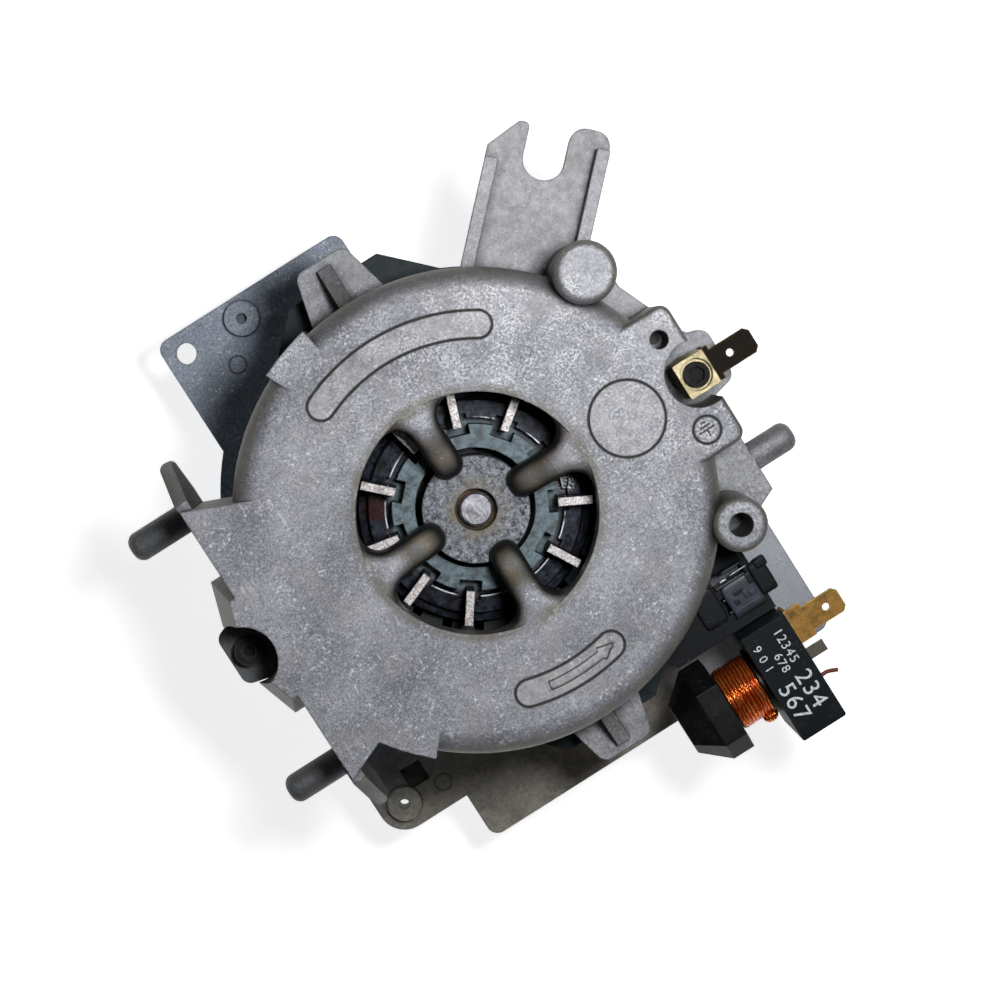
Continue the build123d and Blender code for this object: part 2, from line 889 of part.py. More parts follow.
# Through bolts: the left one enters from the rear, the others from the front
with BuildPart() as through_bolts:
    with BuildSketch(Plane.XY.offset(ear_top)):
        with Locations((-bolt_circle, 0)):
            Circle(bolt_head_radius)
    extrude(amount=bolt_head_height)
    with BuildSketch(Plane.XY.offset(ear_top)):
        with Locations((-bolt_circle, 0)):
            Circle(bolt_radius)
    extrude(amount=-(ear_top - stack_bottom + front_ear_height - bolt_end_gap))
    with BuildSketch(Plane.XY.offset(ear_top + bolt_head_height)):
        with Locations((-bolt_circle, 0)):
            RegularPolygon(bolt_socket_radius, 6)
    extrude(amount=-bolt_head_height / 2, mode=Mode.SUBTRACT)
    front_bolts = ((bolt_circle, 0), (0, bolt_circle), (0, -bolt_circle))
    with BuildSketch(Plane.XY.offset(stack_bottom - front_ear_height)):
        with Locations(*front_bolts):
            Circle(bolt_head_radius)
    extrude(amount=-bolt_head_height)
    with BuildSketch(Plane.XY.offset(stack_bottom - front_ear_height)):
        with Locations(*front_bolts):
            Circle(bolt_radius)
    extrude(amount=front_ear_height + stack_length + ear_height - blind_floor - bolt_end_gap)
    with BuildSketch(Plane.XY.offset(stack_bottom - front_ear_height - bolt_head_height)):
        with Locations(*front_bolts):
            RegularPolygon(bolt_socket_radius, 6)
    extrude(amount=bolt_head_height / 2, mode=Mode.SUBTRACT)
export(through_bolts.part, "through_bolts")

# Rear bearing: crowned sintered bush under a felt ring, held by a spring clip
felt_top = hub_top - hub_roof - seat_gap
bush_top = felt_top - felt_thickness - seat_gap
with BuildPart() as rear_bearing:
    with BuildSketch(Plane.XZ):
        with BuildLine():
            crown_ends = (
                (rear_bush_radius - rear_bush_crown, bush_top - rear_bush_length),
                (rear_bush_radius - rear_bush_crown, bush_top),
            )
            ThreePointArc(crown_ends[0], (rear_bush_radius, bush_top - rear_bush_length / 2), crown_ends[1])
            Polyline(
                crown_ends[1],
                (rear_journal + running_gap, bush_top),
                (rear_journal + running_gap, bush_top - rear_bush_length),
                crown_ends[0],
            )
        make_face()
    revolve(axis=Axis.Z)
export(rear_bearing.part, "rear_bearing")

with BuildPart() as felt_ring:
    with BuildSketch(Plane.XY.offset(felt_top)):
        Circle(rear_bush_radius - seat_gap)
        Circle(rear_journal + free_gap, mode=Mode.SUBTRACT)
    extrude(amount=-felt_thickness)
export(felt_ring.part, "felt_ring")

clip_bottom = bush_top - rear_bush_length - seat_gap - clip_thickness
with BuildPart() as bearing_clip:
    with BuildSketch(Plane.XY.offset(clip_bottom)):
        Circle(clip_radius)
        Circle(clip_hole, mode=Mode.SUBTRACT)
        with PolarLocations(clip_hole, clip_finger_count):
            Rectangle(2 * clip_slit_length, clip_slit_width, mode=Mode.SUBTRACT)
    extrude(amount=clip_thickness)
export(bearing_clip.part, "bearing_clip")

# Front bearing: sealed ball bearing
with BuildPart() as front_bearing:
    with BuildSketch(Plane.XY.offset(front_bearing_floor)):
        Circle(front_race_radius)
        Circle(front_journal + running_gap, mode=Mode.SUBTRACT)
    extrude(amount=front_race_width)
    for level, direction in ((front_bearing_floor, 1), (front_bearing_floor + front_race_width, -1)):
        with BuildSketch(Plane.XY.offset(level)):
            Circle(front_race_groove)
            Circle(front_race_inner, mode=Mode.SUBTRACT)
        extrude(amount=direction * front_race_recess, mode=Mode.SUBTRACT)
export(front_bearing.part, "front_bearing")

# Thermal protector on the rear overhang
with BuildPart() as thermal_protector:
    protector_plane = Plane((0, 0, overhang_top), x_dir=(-1, 1, 0), z_dir=(0, 0, 1))
    with BuildSketch(protector_plane):
        with Locations((overhang_middle, 0)):
            RectangleRounded(protector_width, protector_length, protector_round)
    extrude(amount=protector_height)
export(thermal_protector.part, "thermal_protector")

# Shaft
front_shoulder = front_bearing_floor + front_race_width + free_gap + washer_thickness
with BuildPart() as shaft:
    with BuildSketch(Plane.XZ):
        Polygon(
            (0, -drive_length),
            (drive_radius - shaft_chamfer, -drive_length),
            (drive_radius, -drive_length + shaft_chamfer),
            (drive_radius, journal_start),
            (front_journal, journal_start),
            (front_journal, front_shoulder),
            (core_journal, front_shoulder),
            (core_journal, rear_shoulder),
            (rear_journal, rear_shoulder),
            (rear_journal, shaft_rear_end - shaft_chamfer),
            (rear_journal - shaft_chamfer, shaft_rear_end),
            (0, shaft_rear_end),
            align=None,
        )
    revolve(axis=Axis.Z)
    with BuildSketch(Plane.XY.offset(-drive_length)):
        with Locations((drive_radius - drive_flat_depth, 0)):
            Rectangle(2 * drive_radius, 2 * drive_radius, align=(Align.MIN, Align.CENTER))
    extrude(amount=drive_flat_length, mode=Mode.SUBTRACT)
    circlip_level = front_bearing_floor - free_gap - washer_thickness
    with BuildSketch(Plane.XY.offset(circlip_level - seat_gap)):
        Circle(front_journal + 1.0)
        Circle(front_journal - circlip_groove, mode=Mode.SUBTRACT)
    extrude(amount=washer_thickness + 2 * seat_gap, mode=Mode.SUBTRACT)
export(shaft.part, "shaft")

with BuildPart() as circlip:
    with BuildSketch(Plane.XY.offset(circlip_level)):
        Circle(washer_radius)
        Circle(front_journal - circlip_groove + seat_gap, mode=Mode.SUBTRACT)
        with Locations((-washer_radius, 0)):
            Rectangle(2 * front_journal, circlip_mouth, mode=Mode.SUBTRACT)
    extrude(amount=washer_thickness)
export(circlip.part, "circlip")

# Rotor core and its cast cage
with BuildPart() as rotor_core:
    with BuildSketch(Plane.XY.offset(stack_bottom)):
        Circle(core_radius)
        Circle(core_journal + seat_gap, mode=Mode.SUBTRACT)
        with PolarLocations(bar_circle, bar_count):
            Circle(bar_radius + seat_gap, mode=Mode.SUBTRACT)
    extrude(amount=stack_length)
export(rotor_core.part, "rotor_core")

with BuildPart() as rotor_cage:
    # Rear rings: an inner ring, a groove and a lower ledge on a common base
    with BuildSketch(Plane.XZ):
        Polygon(
            (ring_inner, stack_top),
            (ring_base_outer, stack_top),
            (ring_base_outer, stack_top + ring_base_height - 1.0),
            (ledge_outer + 0.6, stack_top + ring_base_height),
            (ledge_outer, stack_top + ledge_height - 1.2),
            (ledge_inner, stack_top + ledge_height),
            (ledge_inner, stack_top + ring_base_height),
            (ring_outer, stack_top + ring_base_height),
            (ring_outer, stack_top + ring_height),
            (ring_inner, stack_top + ring_height),
            align=None,
        )
    revolve(axis=Axis.Z)
    with BuildSketch(Plane.XY.offset(stack_top + ring_base_height)):
        with PolarLocations(ring_outer, fin_count, start_angle=fin_start):
            Rectangle(2 * notch_depth, notch_width)
    extrude(amount=ring_height, mode=Mode.SUBTRACT)
    with BuildSketch(Plane.XY.offset(stack_top)):
        with PolarLocations((fin_inner + fin_outer) / 2, fin_count, start_angle=fin_start):
            Rectangle(fin_outer - fin_inner, fin_thickness)
    extrude(amount=fin_height)
    # Bars through the core and the front ring
    with BuildSketch(Plane.XY.offset(stack_bottom)):
        with PolarLocations(bar_circle, bar_count):
            Circle(bar_radius)
    extrude(amount=stack_length)
    with BuildSketch(Plane.XY.offset(stack_bottom)):
        Circle(ring_base_outer)
        Circle(front_ring_inner, mode=Mode.SUBTRACT)
    extrude(amount=-front_ring_height)
export(rotor_cage.part, "rotor_cage")

# Thrust washers at both shoulders of the shaft
with BuildPart() as thrust_washers:
    with BuildSketch(Plane.XY.offset(rear_shoulder)):
        Circle(washer_radius)
        Circle(rear_journal + seat_gap, mode=Mode.SUBTRACT)
    extrude(amount=washer_thickness)
    with BuildSketch(Plane.XY.offset(front_shoulder)):
        Circle(washer_radius)
        Circle(front_journal + seat_gap, mode=Mode.SUBTRACT)
    extrude(amount=-washer_thickness)
export(thrust_washers.part, "thrust_washers")

# Earth terminal: a brass block, its screw and its tab
terminal_bottom = ear_top + earth_post_height
terminal_top = terminal_bottom + terminal_height
with BuildPart() as earth_terminal:
    with BuildSketch(Plane.XY.offset(terminal_bottom)):
        with Locations((earth_x, 0)):
            RectangleRounded(terminal_width, terminal_length, terminal_round)
    extrude(amount=terminal_height)
    with Locations((earth_x, 0, terminal_top)):
        CounterBoreHole(bolt_hole_radius, earth_counterbore, earth_counterbore_depth, terminal_height)
export(earth_terminal.part, "earth_terminal")

head_seat = terminal_top - earth_counterbore_depth
with BuildPart() as earth_screw:
    with BuildSketch(Plane.XY.offset(head_seat)):
        with Locations((earth_x, 0)):
            Circle(earth_head_radius)
    extrude(amount=earth_head_height)
    with BuildSketch(Plane.XY.offset(head_seat)):
        with Locations((earth_x, 0)):
            Circle(bolt_radius)
    extrude(amount=-(terminal_height - earth_counterbore_depth + earth_thread_depth))
    with BuildSketch(Plane.XY.offset(head_seat + earth_head_height)):
        with Locations((earth_x, 0)):
            RegularPolygon(earth_socket_radius, 6)
    extrude(amount=-earth_socket_depth, mode=Mode.SUBTRACT)
export(earth_screw.part, "earth_screw")

tab_root = earth_x + terminal_width / 2
with BuildPart() as earth_tab:
    earth_tab_level = terminal_top - earth_tab_drop
    with BuildSketch(Plane.XY.offset(earth_tab_level)) as earth_tab_section:
        with Locations((tab_root, 0)):
            Rectangle(earth_tab_shoulder, tab_shoulder_width, align=(Align.MIN, Align.CENTER))
            Rectangle(earth_tab_reach, tab_width, align=(Align.MIN, Align.CENTER))
        chamfer(earth_tab_section.vertices().group_by(Axis.X)[-1], tab_corner)
        with Locations((tab_root + earth_tab_hole, 0)):
            Circle(tab_hole_radius, mode=Mode.SUBTRACT)
    extrude(amount=-tab_sheet)
    with BuildSketch(Plane.XY.offset(earth_tab_level - tab_sheet)):
        with Locations((tab_root, 0)):
            Rectangle(tab_sheet, tab_shoulder_width, align=(Align.MIN, Align.CENTER))
    extrude(amount=-earth_tab_leg)
export(earth_tab.part, "earth_tab")

# Terminal carrier, seated on a flat of the stator
carrier_relay_face = relay_near + free_gap
flat_sum = stack_side / math.sqrt(2)
with BuildPart() as terminal_carrier:
    with BuildSketch(Plane.XY.offset(carrier_bottom)):
        Polygon(
            (carrier_left, carrier_left - flat_sum),
            (carrier_flat_end, carrier_flat_end - flat_sum),
            (carrier_right - 3.0, carrier_flat_end - flat_sum - 1.5),
            (carrier_right, carrier_flat_end - flat_sum - carrier_corner_drop),
            (carrier_right, carrier_relay_face),
            (carrier_left + 2.0, carrier_relay_face),
            align=None,
        )
    extrude(amount=carrier_top - carrier_bottom)
    with BuildSketch(Plane.XY.offset(stack_top - free_gap)):
        Circle(cap_radius + free_gap)
    extrude(amount=carrier_top - stack_top + free_gap, mode=Mode.SUBTRACT)
    with BuildSketch(Plane.XY.offset(carrier_top)):
        with Locations(*carrier_cells):
            Rectangle(carrier_cell_length, carrier_cell_width)
    extrude(amount=-carrier_cell_depth, mode=Mode.SUBTRACT)
export(terminal_carrier.part, "terminal_carrier")

# Spring clips in the carrier's cells
with BuildPart() as terminal_clips:
    with BuildSketch(Plane.XY.offset(carrier_top - carrier_cell_depth)):
        with Locations(*carrier_cells):
            Rectangle(carrier_cell_length - 0.6, carrier_cell_width - 0.6)
            Rectangle(carrier_cell_length, carrier_cell_width - 0.6 - 2 * clip_strip, mode=Mode.SUBTRACT)
    extrude(amount=carrier_cell_depth + clip_rise)
    with BuildSketch(Plane.XY.offset(carrier_top - carrier_cell_depth)):
        with Locations(*carrier_cells):
            Rectangle(carrier_cell_length - 0.6, carrier_cell_width - 0.6)
    extrude(amount=clip_strip)
export(terminal_clips.part, "terminal_clips")

# Leads from the front overhang, out through the bell and up into the carrier
with BuildPart() as winding_leads:
    for offset in lead_offsets:
        lead_route = Plane(
            (offset / math.sqrt(2), offset / math.sqrt(2), 0), x_dir=(1, -1, 0), z_dir=(-1, -1, 0)
        )
        with BuildLine(lead_route) as route:
            FilletPolyline(
                (overhang_outer, lead_height),
                (overhang_outer + lead_run, lead_height),
                (overhang_outer + lead_run, carrier_bottom),
                radius=lead_bend,
            )
        with BuildSketch(Plane(route.wires()[0] @ 0, z_dir=route.wires()[0] % 0)):
            Circle(lead_radius)
        sweep(path=route.wires()[0])
export(winding_leads.part, "winding_leads")

# Start relay: coil on a bobbin beside the contact box
relay_length = relay_near - relay_far
relay_middle_y = (relay_near + relay_far) / 2
with BuildPart() as relay_case:
    with BuildSketch(Plane.XY.offset(relay_bottom)):
        with Locations(((relay_left + relay_right) / 2, relay_middle_y)):
            RectangleRounded(relay_right - relay_left, relay_length, relay_corner)
    extrude(amount=relay_top - relay_bottom)
    with BuildSketch(Plane.XY.offset(relay_bottom + relay_wall)):
        with Locations(((relay_left + relay_right) / 2, relay_middle_y)):
            Rectangle(relay_right - relay_left - 2 * relay_wall, relay_length - 2 * relay_wall)
    extrude(amount=relay_top - relay_bottom - 2 * relay_wall, mode=Mode.SUBTRACT)
    with BuildSketch(Plane.YZ.offset(relay_left)):
        with Locations((relay_axis_y, relay_axis_z)):
            Circle(bobbin_tube + seat_gap)
    extrude(amount=relay_wall, mode=Mode.SUBTRACT)
export(relay_case.part, "relay_case")

with BuildPart() as relay_bobbin:
    for level, span_y, span_z in (
        (bobbin_end, bobbin_nose_y, bobbin_nose_z),
        (bobbin_shoulder, bobbin_span_y, bobbin_span_z),
    ):
        with BuildSketch(Plane.YZ.offset(level)) as facet:
            with Locations((relay_axis_y, relay_axis_z)):
                Rectangle(span_y, span_z)
            chamfer(facet.vertices(), bobbin_chamfer * span_z / bobbin_span_z)
    loft()
    with BuildSketch(Plane.YZ.offset(bobbin_shoulder)) as facet:
        with Locations((relay_axis_y, relay_axis_z)):
            Rectangle(bobbin_span_y, bobbin_span_z)
        chamfer(facet.vertices(), bobbin_chamfer)
    extrude(amount=bobbin_face - bobbin_shoulder)
    with BuildSketch(Plane.YZ.offset(bobbin_face)):
        with Locations((relay_axis_y, relay_axis_z)):
            Circle(bobbin_tube)
    extrude(amount=relay_left + relay_wall - bobbin_face)
    with BuildSketch(Plane.YZ.offset(relay_left - bobbin_flange_thickness)):
        with Locations((relay_axis_y, relay_axis_z)):
            Circle(bobbin_flange_radius)
    extrude(amount=bobbin_flange_thickness)
    with BuildSketch(Plane.YZ.offset(plunger_start - free_gap)):
        with Locations((relay_axis_y, relay_axis_z)):
            Circle(bobbin_bore)
    extrude(amount=relay_left + relay_wall - plunger_start + free_gap, mode=Mode.SUBTRACT)
export(relay_bobbin.part, "relay_bobbin")

with BuildPart() as relay_coil:
    with BuildSketch(Plane.YZ.offset(bobbin_face + coil_gap)):
        with Locations((relay_axis_y, relay_axis_z)):
            Circle(coil_radius)
            Circle(bobbin_tube + seat_gap, mode=Mode.SUBTRACT)
    extrude(amount=relay_left - bobbin_flange_thickness - bobbin_face - 2 * coil_gap)
export(relay_coil.part, "relay_coil")

with BuildPart() as relay_plunger:
    with BuildSketch(Plane.YZ.offset(plunger_start)):
        with Locations((relay_axis_y, relay_axis_z)):
            Circle(bobbin_bore - running_gap)
    extrude(amount=plunger_length)
    with BuildSketch(Plane.YZ.offset(plunger_start + plunger_length)):
        with Locations((relay_axis_y, relay_axis_z)):
            Circle(plunger_rod)
    extrude(amount=bridge_start - plunger_start - plunger_length)
export(relay_plunger.part, "relay_plunger")

with BuildPart() as contact_bridge:
    with BuildSketch(Plane.YZ.offset(bridge_start)):
        with Locations((relay_axis_y, relay_axis_z)):
            Rectangle(bridge_length, bridge_width)
    extrude(amount=bridge_thickness)
    with BuildSketch(Plane.YZ.offset(bridge_start + bridge_thickness)):
        with Locations(*contact_places):
            Circle(contact_radius)
    extrude(amount=contact_height)
export(contact_bridge.part, "contact_bridge")

fixed_face = bridge_start + bridge_thickness + contact_height + plunger_travel + free_gap
inner_wall = relay_right - relay_wall
with BuildPart() as relay_contacts:
    with BuildSketch(Plane.YZ.offset(fixed_face)):
        with Locations(*contact_places):
            Circle(contact_radius)
    extrude(amount=inner_wall - bridge_thickness - fixed_face)
    with BuildSketch(Plane.YZ.offset(inner_wall)):
        with Locations(*contact_places):
            Rectangle(bridge_width, contact_strip_length)
    extrude(amount=-bridge_thickness)
export(relay_contacts.part, "relay_contacts")

# Tabs of the relay and the end of its coil wire
with BuildPart() as relay_tab:
    with BuildSketch(Plane.XY.offset(relay_tab_level)) as relay_tab_section:
        with Locations((relay_right, relay_tab_y)):
            Rectangle(relay_tab_shoulder, relay_tab_base, align=(Align.MIN, Align.CENTER))
            Rectangle(relay_tab_reach, tab_width, align=(Align.MIN, Align.CENTER))
        chamfer(relay_tab_section.vertices().group_by(Axis.X)[-1], tab_corner)
        with Locations((relay_right + relay_tab_hole, relay_tab_y)):
            Circle(tab_hole_radius, mode=Mode.SUBTRACT)
    extrude(amount=-tab_sheet)
    with BuildSketch(Plane.XY.offset(relay_tab_level - tab_sheet)):
        with Locations((relay_right, relay_tab_y)):
            Rectangle(tab_sheet, relay_tab_base, align=(Align.MIN, Align.CENTER))
    extrude(amount=-relay_tab_leg)
export(relay_tab.part, "relay_tab")

with BuildPart() as relay_small_tab:
    with BuildSketch(Plane.YZ.offset(relay_right)):
        with Locations((small_tab_y, relay_tab_level - 2.0)):
            Rectangle(small_tab_width, tab_sheet)
    extrude(amount=small_tab_reach)
export(relay_small_tab.part, "relay_small_tab")

with BuildPart() as coil_lead:
    with BuildLine(Plane.XY.offset(lead_end_height)) as lead_route:
        FilletPolyline(
            (relay_right, lead_end_y),
            (relay_right + lead_end_reach / 2, lead_end_y),
            (relay_right + lead_end_reach, lead_end_y - lead_end_drop),
            radius=lead_end_bend,
        )
    with BuildSketch(Plane(lead_route.wires()[0] @ 0, z_dir=lead_route.wires()[0] % 0)):
        Circle(lead_end_radius)
    sweep(path=lead_route.wires()[0])
export(coil_lead.part, "coil_lead")
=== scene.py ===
import bpy
import json
import math
import numpy as np
from mathutils import Matrix, Vector


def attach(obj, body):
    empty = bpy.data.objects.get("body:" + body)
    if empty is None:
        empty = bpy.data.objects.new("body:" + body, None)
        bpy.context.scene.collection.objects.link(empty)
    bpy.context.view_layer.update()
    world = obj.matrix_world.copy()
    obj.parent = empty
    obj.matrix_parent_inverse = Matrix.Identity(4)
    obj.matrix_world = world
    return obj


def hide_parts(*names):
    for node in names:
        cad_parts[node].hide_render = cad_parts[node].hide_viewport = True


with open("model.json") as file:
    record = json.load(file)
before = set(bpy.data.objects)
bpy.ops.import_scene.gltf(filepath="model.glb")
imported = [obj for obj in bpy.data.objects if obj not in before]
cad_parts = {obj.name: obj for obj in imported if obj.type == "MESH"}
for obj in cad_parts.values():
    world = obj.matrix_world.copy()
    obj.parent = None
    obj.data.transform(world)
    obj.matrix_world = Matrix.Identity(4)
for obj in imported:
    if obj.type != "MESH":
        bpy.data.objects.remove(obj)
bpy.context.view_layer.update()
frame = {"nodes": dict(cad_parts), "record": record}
scene = bpy.context.scene
scene.view_settings.view_transform = "Standard"
nodes = frame["nodes"]
MM = 0.001

# Heights and radii that the paint follows, in millimetres: the cap, its inside and its window,
# the hub, the rotor's ledge and fins, and the front plate's upper face
CAP_TOP = 78.0
CAP_EDGE = 54.6
CAP_INSIDE = 51.5
WINDOW_EDGE = 27.0
HUB_TOP = 66.0
HUB_EDGE = 12.3
LEDGE_EDGE = 20.7
LEDGE_LEVEL = 57.0
FIN_TOPS = 64.6
PLATE_TOP = 5.0

# The screw hole in the block beside the post: its axis and the radius of its inside, painted dark
# as shade
SCREW_HOLE = (54.6, 11.3)
SCREW_HOLE_DARK = 1.45

# Grooves in the flat top: the radius that the two bent slots follow with the angles of their
# ends, the axis and radius of the round field, and the axis and radius of the earth sign's ring
SLOT_BEND = 41.8
SLOT_HALF_WIDTH = 3.1
LONG_SLOT = (57.6, 113.3)
SHORT_SLOT = (-106.4, -77.1)
ROUND_FIELD = (39.2, 0.0)
ROUND_FIELD_RADIUS = 8.6
EARTH_SIGN = (52.9, -11.6)
EARTH_SIGN_RADIUS = 3.1
GROOVE_HALF_WIDTH = 0.45

# Round ejector marks on the front plate
UPPER_MARK = (-32.1, 58.4)
LOWER_MARK = (-45.5, -59.1)
MARK_RADIUS = 2.2

# Two places on the rotor's ring: a spot of red resin and a chip
RESIN_SPOT = (-20.0, 12.0)
CHIP_SPOT = (20.5, -6.8)

# The rotation arrow in the short slot: the angles of its tail and tip, its half width on the
# tail, that of its head's base, and the share of its length where the head begins
ARROW_START = -99.5
ARROW_END = -76.5
ARROW_TAIL = 0.95
ARROW_HEAD = 1.7
ARROW_NECK = 0.79

# The relay's coil: the y and z of its axis
COIL_AXIS = (-72.0, 47.5)

# Where the relay's print begins, on its top, and the font's size for a digit 1 high
PRINT_CORNER = (35.2, -59.0, 60.02)
PRINT_FULL = 1.35

# The floor lies just under the shaft's end. Its height and half its width are in metres, and
# so is the middle of the motor, which the lamps are aimed at. A floor shown at 1 is white
FLOOR_LEVEL = -0.031
FLOOR_HALF = 2
FLOOR_SHOWN = 0.75
MOTOR_MIDDLE = Vector((0.0, 0.0, 0.05))

# The photo's right is turned by this from the part's X axis, in degrees
PHOTO_TURN = 32.5


def srgb(red, green, blue):
    """Linear colour of a display colour given from 0 to 255, by the sRGB curve."""
    value = np.array([red, green, blue]) / 255.0
    linear = np.where(value <= 0.04045, value / 12.92, ((value + 0.055) / 1.055) ** 2.4)
    return (*linear.tolist(), 1.0)


# The camera stands about half a metre above the rear end, a few degrees off the shaft's line
CAMERA_PLACE = Vector((8.275, 39.151, 574.93)) * MM
CAMERA_TURN = Matrix((
    (0.84449, 0.53555, 0.00504),
    (-0.53422, 0.84166, 0.07880),
    (0.03796, -0.06924, 0.99688),
))
camera_data = bpy.data.cameras.new("camera")
camera_data.sensor_width = 36.0
camera_data.lens = 81.07
camera_data.clip_start = 0.01
camera = bpy.data.objects.new("camera", camera_data)
scene.collection.objects.link(camera)
camera.matrix_world = Matrix.Translation(CAMERA_PLACE) @ CAMERA_TURN.to_4x4()
scene.camera = camera


class Finish:
    """One material, put together node by node. Patterns read Object coordinates, and sizes are in
    millimetres."""

    def __init__(self, name, **values):
        self.material = bpy.data.materials.new(name)
        self.material.use_nodes = True
        self.tree = self.material.node_tree
        self.tree.nodes.clear()
        self.shader = self.add("ShaderNodeBsdfPrincipled", {}, values)
        output = self.add("ShaderNodeOutputMaterial")
        self.tree.links.new(self.shader.outputs[0], output.inputs[0])
        self.place = self.add("ShaderNodeTexCoord").outputs["Object"]

    def add(self, kind, settings=None, values=None):
        """A new node with its settings. Each value is a number, a colour or a node's socket."""
        node = self.tree.nodes.new(kind)
        for key, value in (settings or {}).items():
            setattr(node, key, value)
        for key, value in (values or {}).items():
            if isinstance(value, bpy.types.NodeSocket):
                self.tree.links.new(value, node.inputs[key])
            else:
                node.inputs[key].default_value = value
        return node

    def noise(self, size, detail=3.0, rough=0.55, stretch=None):
        """Cloudy noise whose patches are about size millimetres wide."""
        where = self.place
        if stretch:
            scaled = {"Vector": self.place, "Scale": stretch}
            where = self.add("ShaderNodeMapping", {}, scaled).outputs[0]
        values = {"Vector": where, "Scale": 1000.0 / size, "Detail": detail, "Roughness": rough}
        return self.add("ShaderNodeTexNoise", {}, values).outputs["Fac"]

    def span(self, value, low, high, start=0.0, end=1.0):
        """The value's stretch from low to high, spread over start to end and held there."""
        values = {0: value, 1: low, 2: high, 3: start, 4: end}
        return self.add("ShaderNodeMapRange", {}, values).outputs[0]

    def math(self, kind, first, second=0.0):
        """One step of arithmetic on two numbers or sockets."""
        return self.add("ShaderNodeMath", {"operation": kind}, {0: first, 1: second}).outputs[0]

    def both(self, *shares):
        """The product of several shares."""
        made = shares[0]
        for share in shares[1:]:
            made = self.math("MULTIPLY", made, share)
        return made

    def mix(self, share, first, second):
        """First colour where share is 0, second where it is 1."""
        values = {0: share, 6: first, 7: second}
        return self.add("ShaderNodeMix", {"data_type": "RGBA"}, values).outputs[2]

    def axes(self):
        """The x, y and z of the place, in millimetres."""
        parts = self.add("ShaderNodeSeparateXYZ", {}, {0: self.place})
        return [self.math("MULTIPLY", parts.outputs[index], 1000.0) for index in range(3)]

    def away(self, x, y, place_x, place_y):
        """Distance from the upright line at place_x, place_y: the root of dx^2 + dy^2."""
        square_x = self.math("POWER", self.math("ABSOLUTE", self.math("SUBTRACT", x, place_x)), 2.0)
        square_y = self.math("POWER", self.math("ABSOLUTE", self.math("SUBTRACT", y, place_y)), 2.0)
        return self.math("SQRT", self.math("ADD", square_x, square_y))

    def line(self, distance, at, half_width):
        """1 on a line where the distance equals at, falling to 0 at its sides."""
        off = self.math("ABSOLUTE", self.math("SUBTRACT", distance, at))
        return self.span(off, half_width * 0.4, half_width, 1.0, 0.0)

    def curved_pill(self, x, y, radius, turn, start, end):
        """Distance to a bent slot's centre line: |r - radius| between the angles start and end of
        the turn about the shaft, and otherwise the distance to the nearer end."""
        ends = [
            self.away(x, y, radius * math.cos(angle), radius * math.sin(angle))
            for angle in (math.radians(start), math.radians(end))
        ]
        before = self.math("LESS_THAN", turn, start)
        outside = self.math("MAXIMUM", before, self.math("GREATER_THAN", turn, end))
        ring = self.math("ABSOLUTE", self.math("SUBTRACT", self.away(x, y, 0.0, 0.0), radius))
        ring = self.math("ADD", ring, self.math("MULTIPLY", outside, 100.0))
        return self.math("MINIMUM", ring, self.math("MINIMUM", *ends))

    def edges(self, radius):
        """1 on edges sharper than the radius, by how far the rounded normal leans from the true."""
        rounded = self.add("ShaderNodeBevel", {"samples": 4}, {"Radius": radius * MM})
        true = self.add("ShaderNodeNewGeometry")
        pair = {0: rounded.outputs[0], 1: true.outputs["Normal"]}
        dot = self.add("ShaderNodeVectorMath", {"operation": "DOT_PRODUCT"}, pair)
        return self.span(self.math("SUBTRACT", 1.0, dot.outputs["Value"]), 0.02, 0.25)

    def hollows(self, reach):
        """1 in corners and pits that the reach, in millimetres, finds closed in, by ambient
        occlusion; the finishes use it to paint shade.
        """
        found = self.add("ShaderNodeAmbientOcclusion", {"samples": 6}, {"Distance": reach * MM})
        return self.span(found.outputs["AO"], 0.25, 0.85, 1.0, 0.0)

    def steep(self, level=0.93, upright=0.35):
        """0 where the normal's z is level or more, 1 where it is upright or less."""
        geometry = self.add("ShaderNodeNewGeometry")
        normal = self.add("ShaderNodeSeparateXYZ", {}, {0: geometry.outputs["Normal"]})
        return self.span(normal.outputs[2], level, upright)

    def relief(self, *layers, radius=0.0):
        """Bumps from pairs of a height socket and a depth in millimetres, over normals that are
        rounded by the radius."""
        normal = None
        if radius:
            normal = self.add("ShaderNodeBevel", {"samples": 6}, {"Radius": radius * MM}).outputs[0]
        for height, depth in layers:
            values = {"Height": height, "Strength": 1.0, "Distance": depth * MM}
            if normal:
                values["Normal"] = normal
            normal = self.add("ShaderNodeBump", {}, values).outputs[0]
        self.tree.links.new(normal, self.shader.inputs["Normal"])

    def paint(self, colour):
        """The colour socket becomes the shader's base colour."""
        self.tree.links.new(colour, self.shader.inputs["Base Color"])

    def roughen(self, value):
        """The value socket becomes the shader's roughness."""
        self.tree.links.new(value, self.shader.inputs["Roughness"])


def cast_skin(made, dark, light):
    """Cast aluminium: wide clouds, blotches of 1 to 3 mm, fine dark pores, scattered bright grains.
    Gives the colour, and the blotches and grains for the relief."""
    clouds = made.noise(16.0, 5.0, 0.62)
    blotches = made.noise(2.0, 6.0, 0.85)
    grains = made.noise(0.55, 4.0, 0.85)
    sparks = made.span(made.noise(0.9, 3.0, 0.75), 0.58, 0.63)
    sparks = made.both(sparks, made.span(made.noise(6.0), 0.44, 0.58), 0.6)
    base = made.mix(made.span(clouds, 0.32, 0.68), dark, light)
    base = made.mix(made.span(blotches, 0.5, 0.66, 0.0, 0.6), base, light)
    base = made.mix(made.span(blotches, 0.34, 0.5, 0.6, 0.0), base, dark)
    base = made.mix(made.span(grains, 0.38, 0.5, 0.6, 0.0), base, srgb(60, 62, 66))
    base = made.mix(made.span(grains, 0.55, 0.66, 0.0, 0.55), base, srgb(200, 198, 204))
    base = made.mix(sparks, base, srgb(222, 222, 228))
    return base, blotches, grains


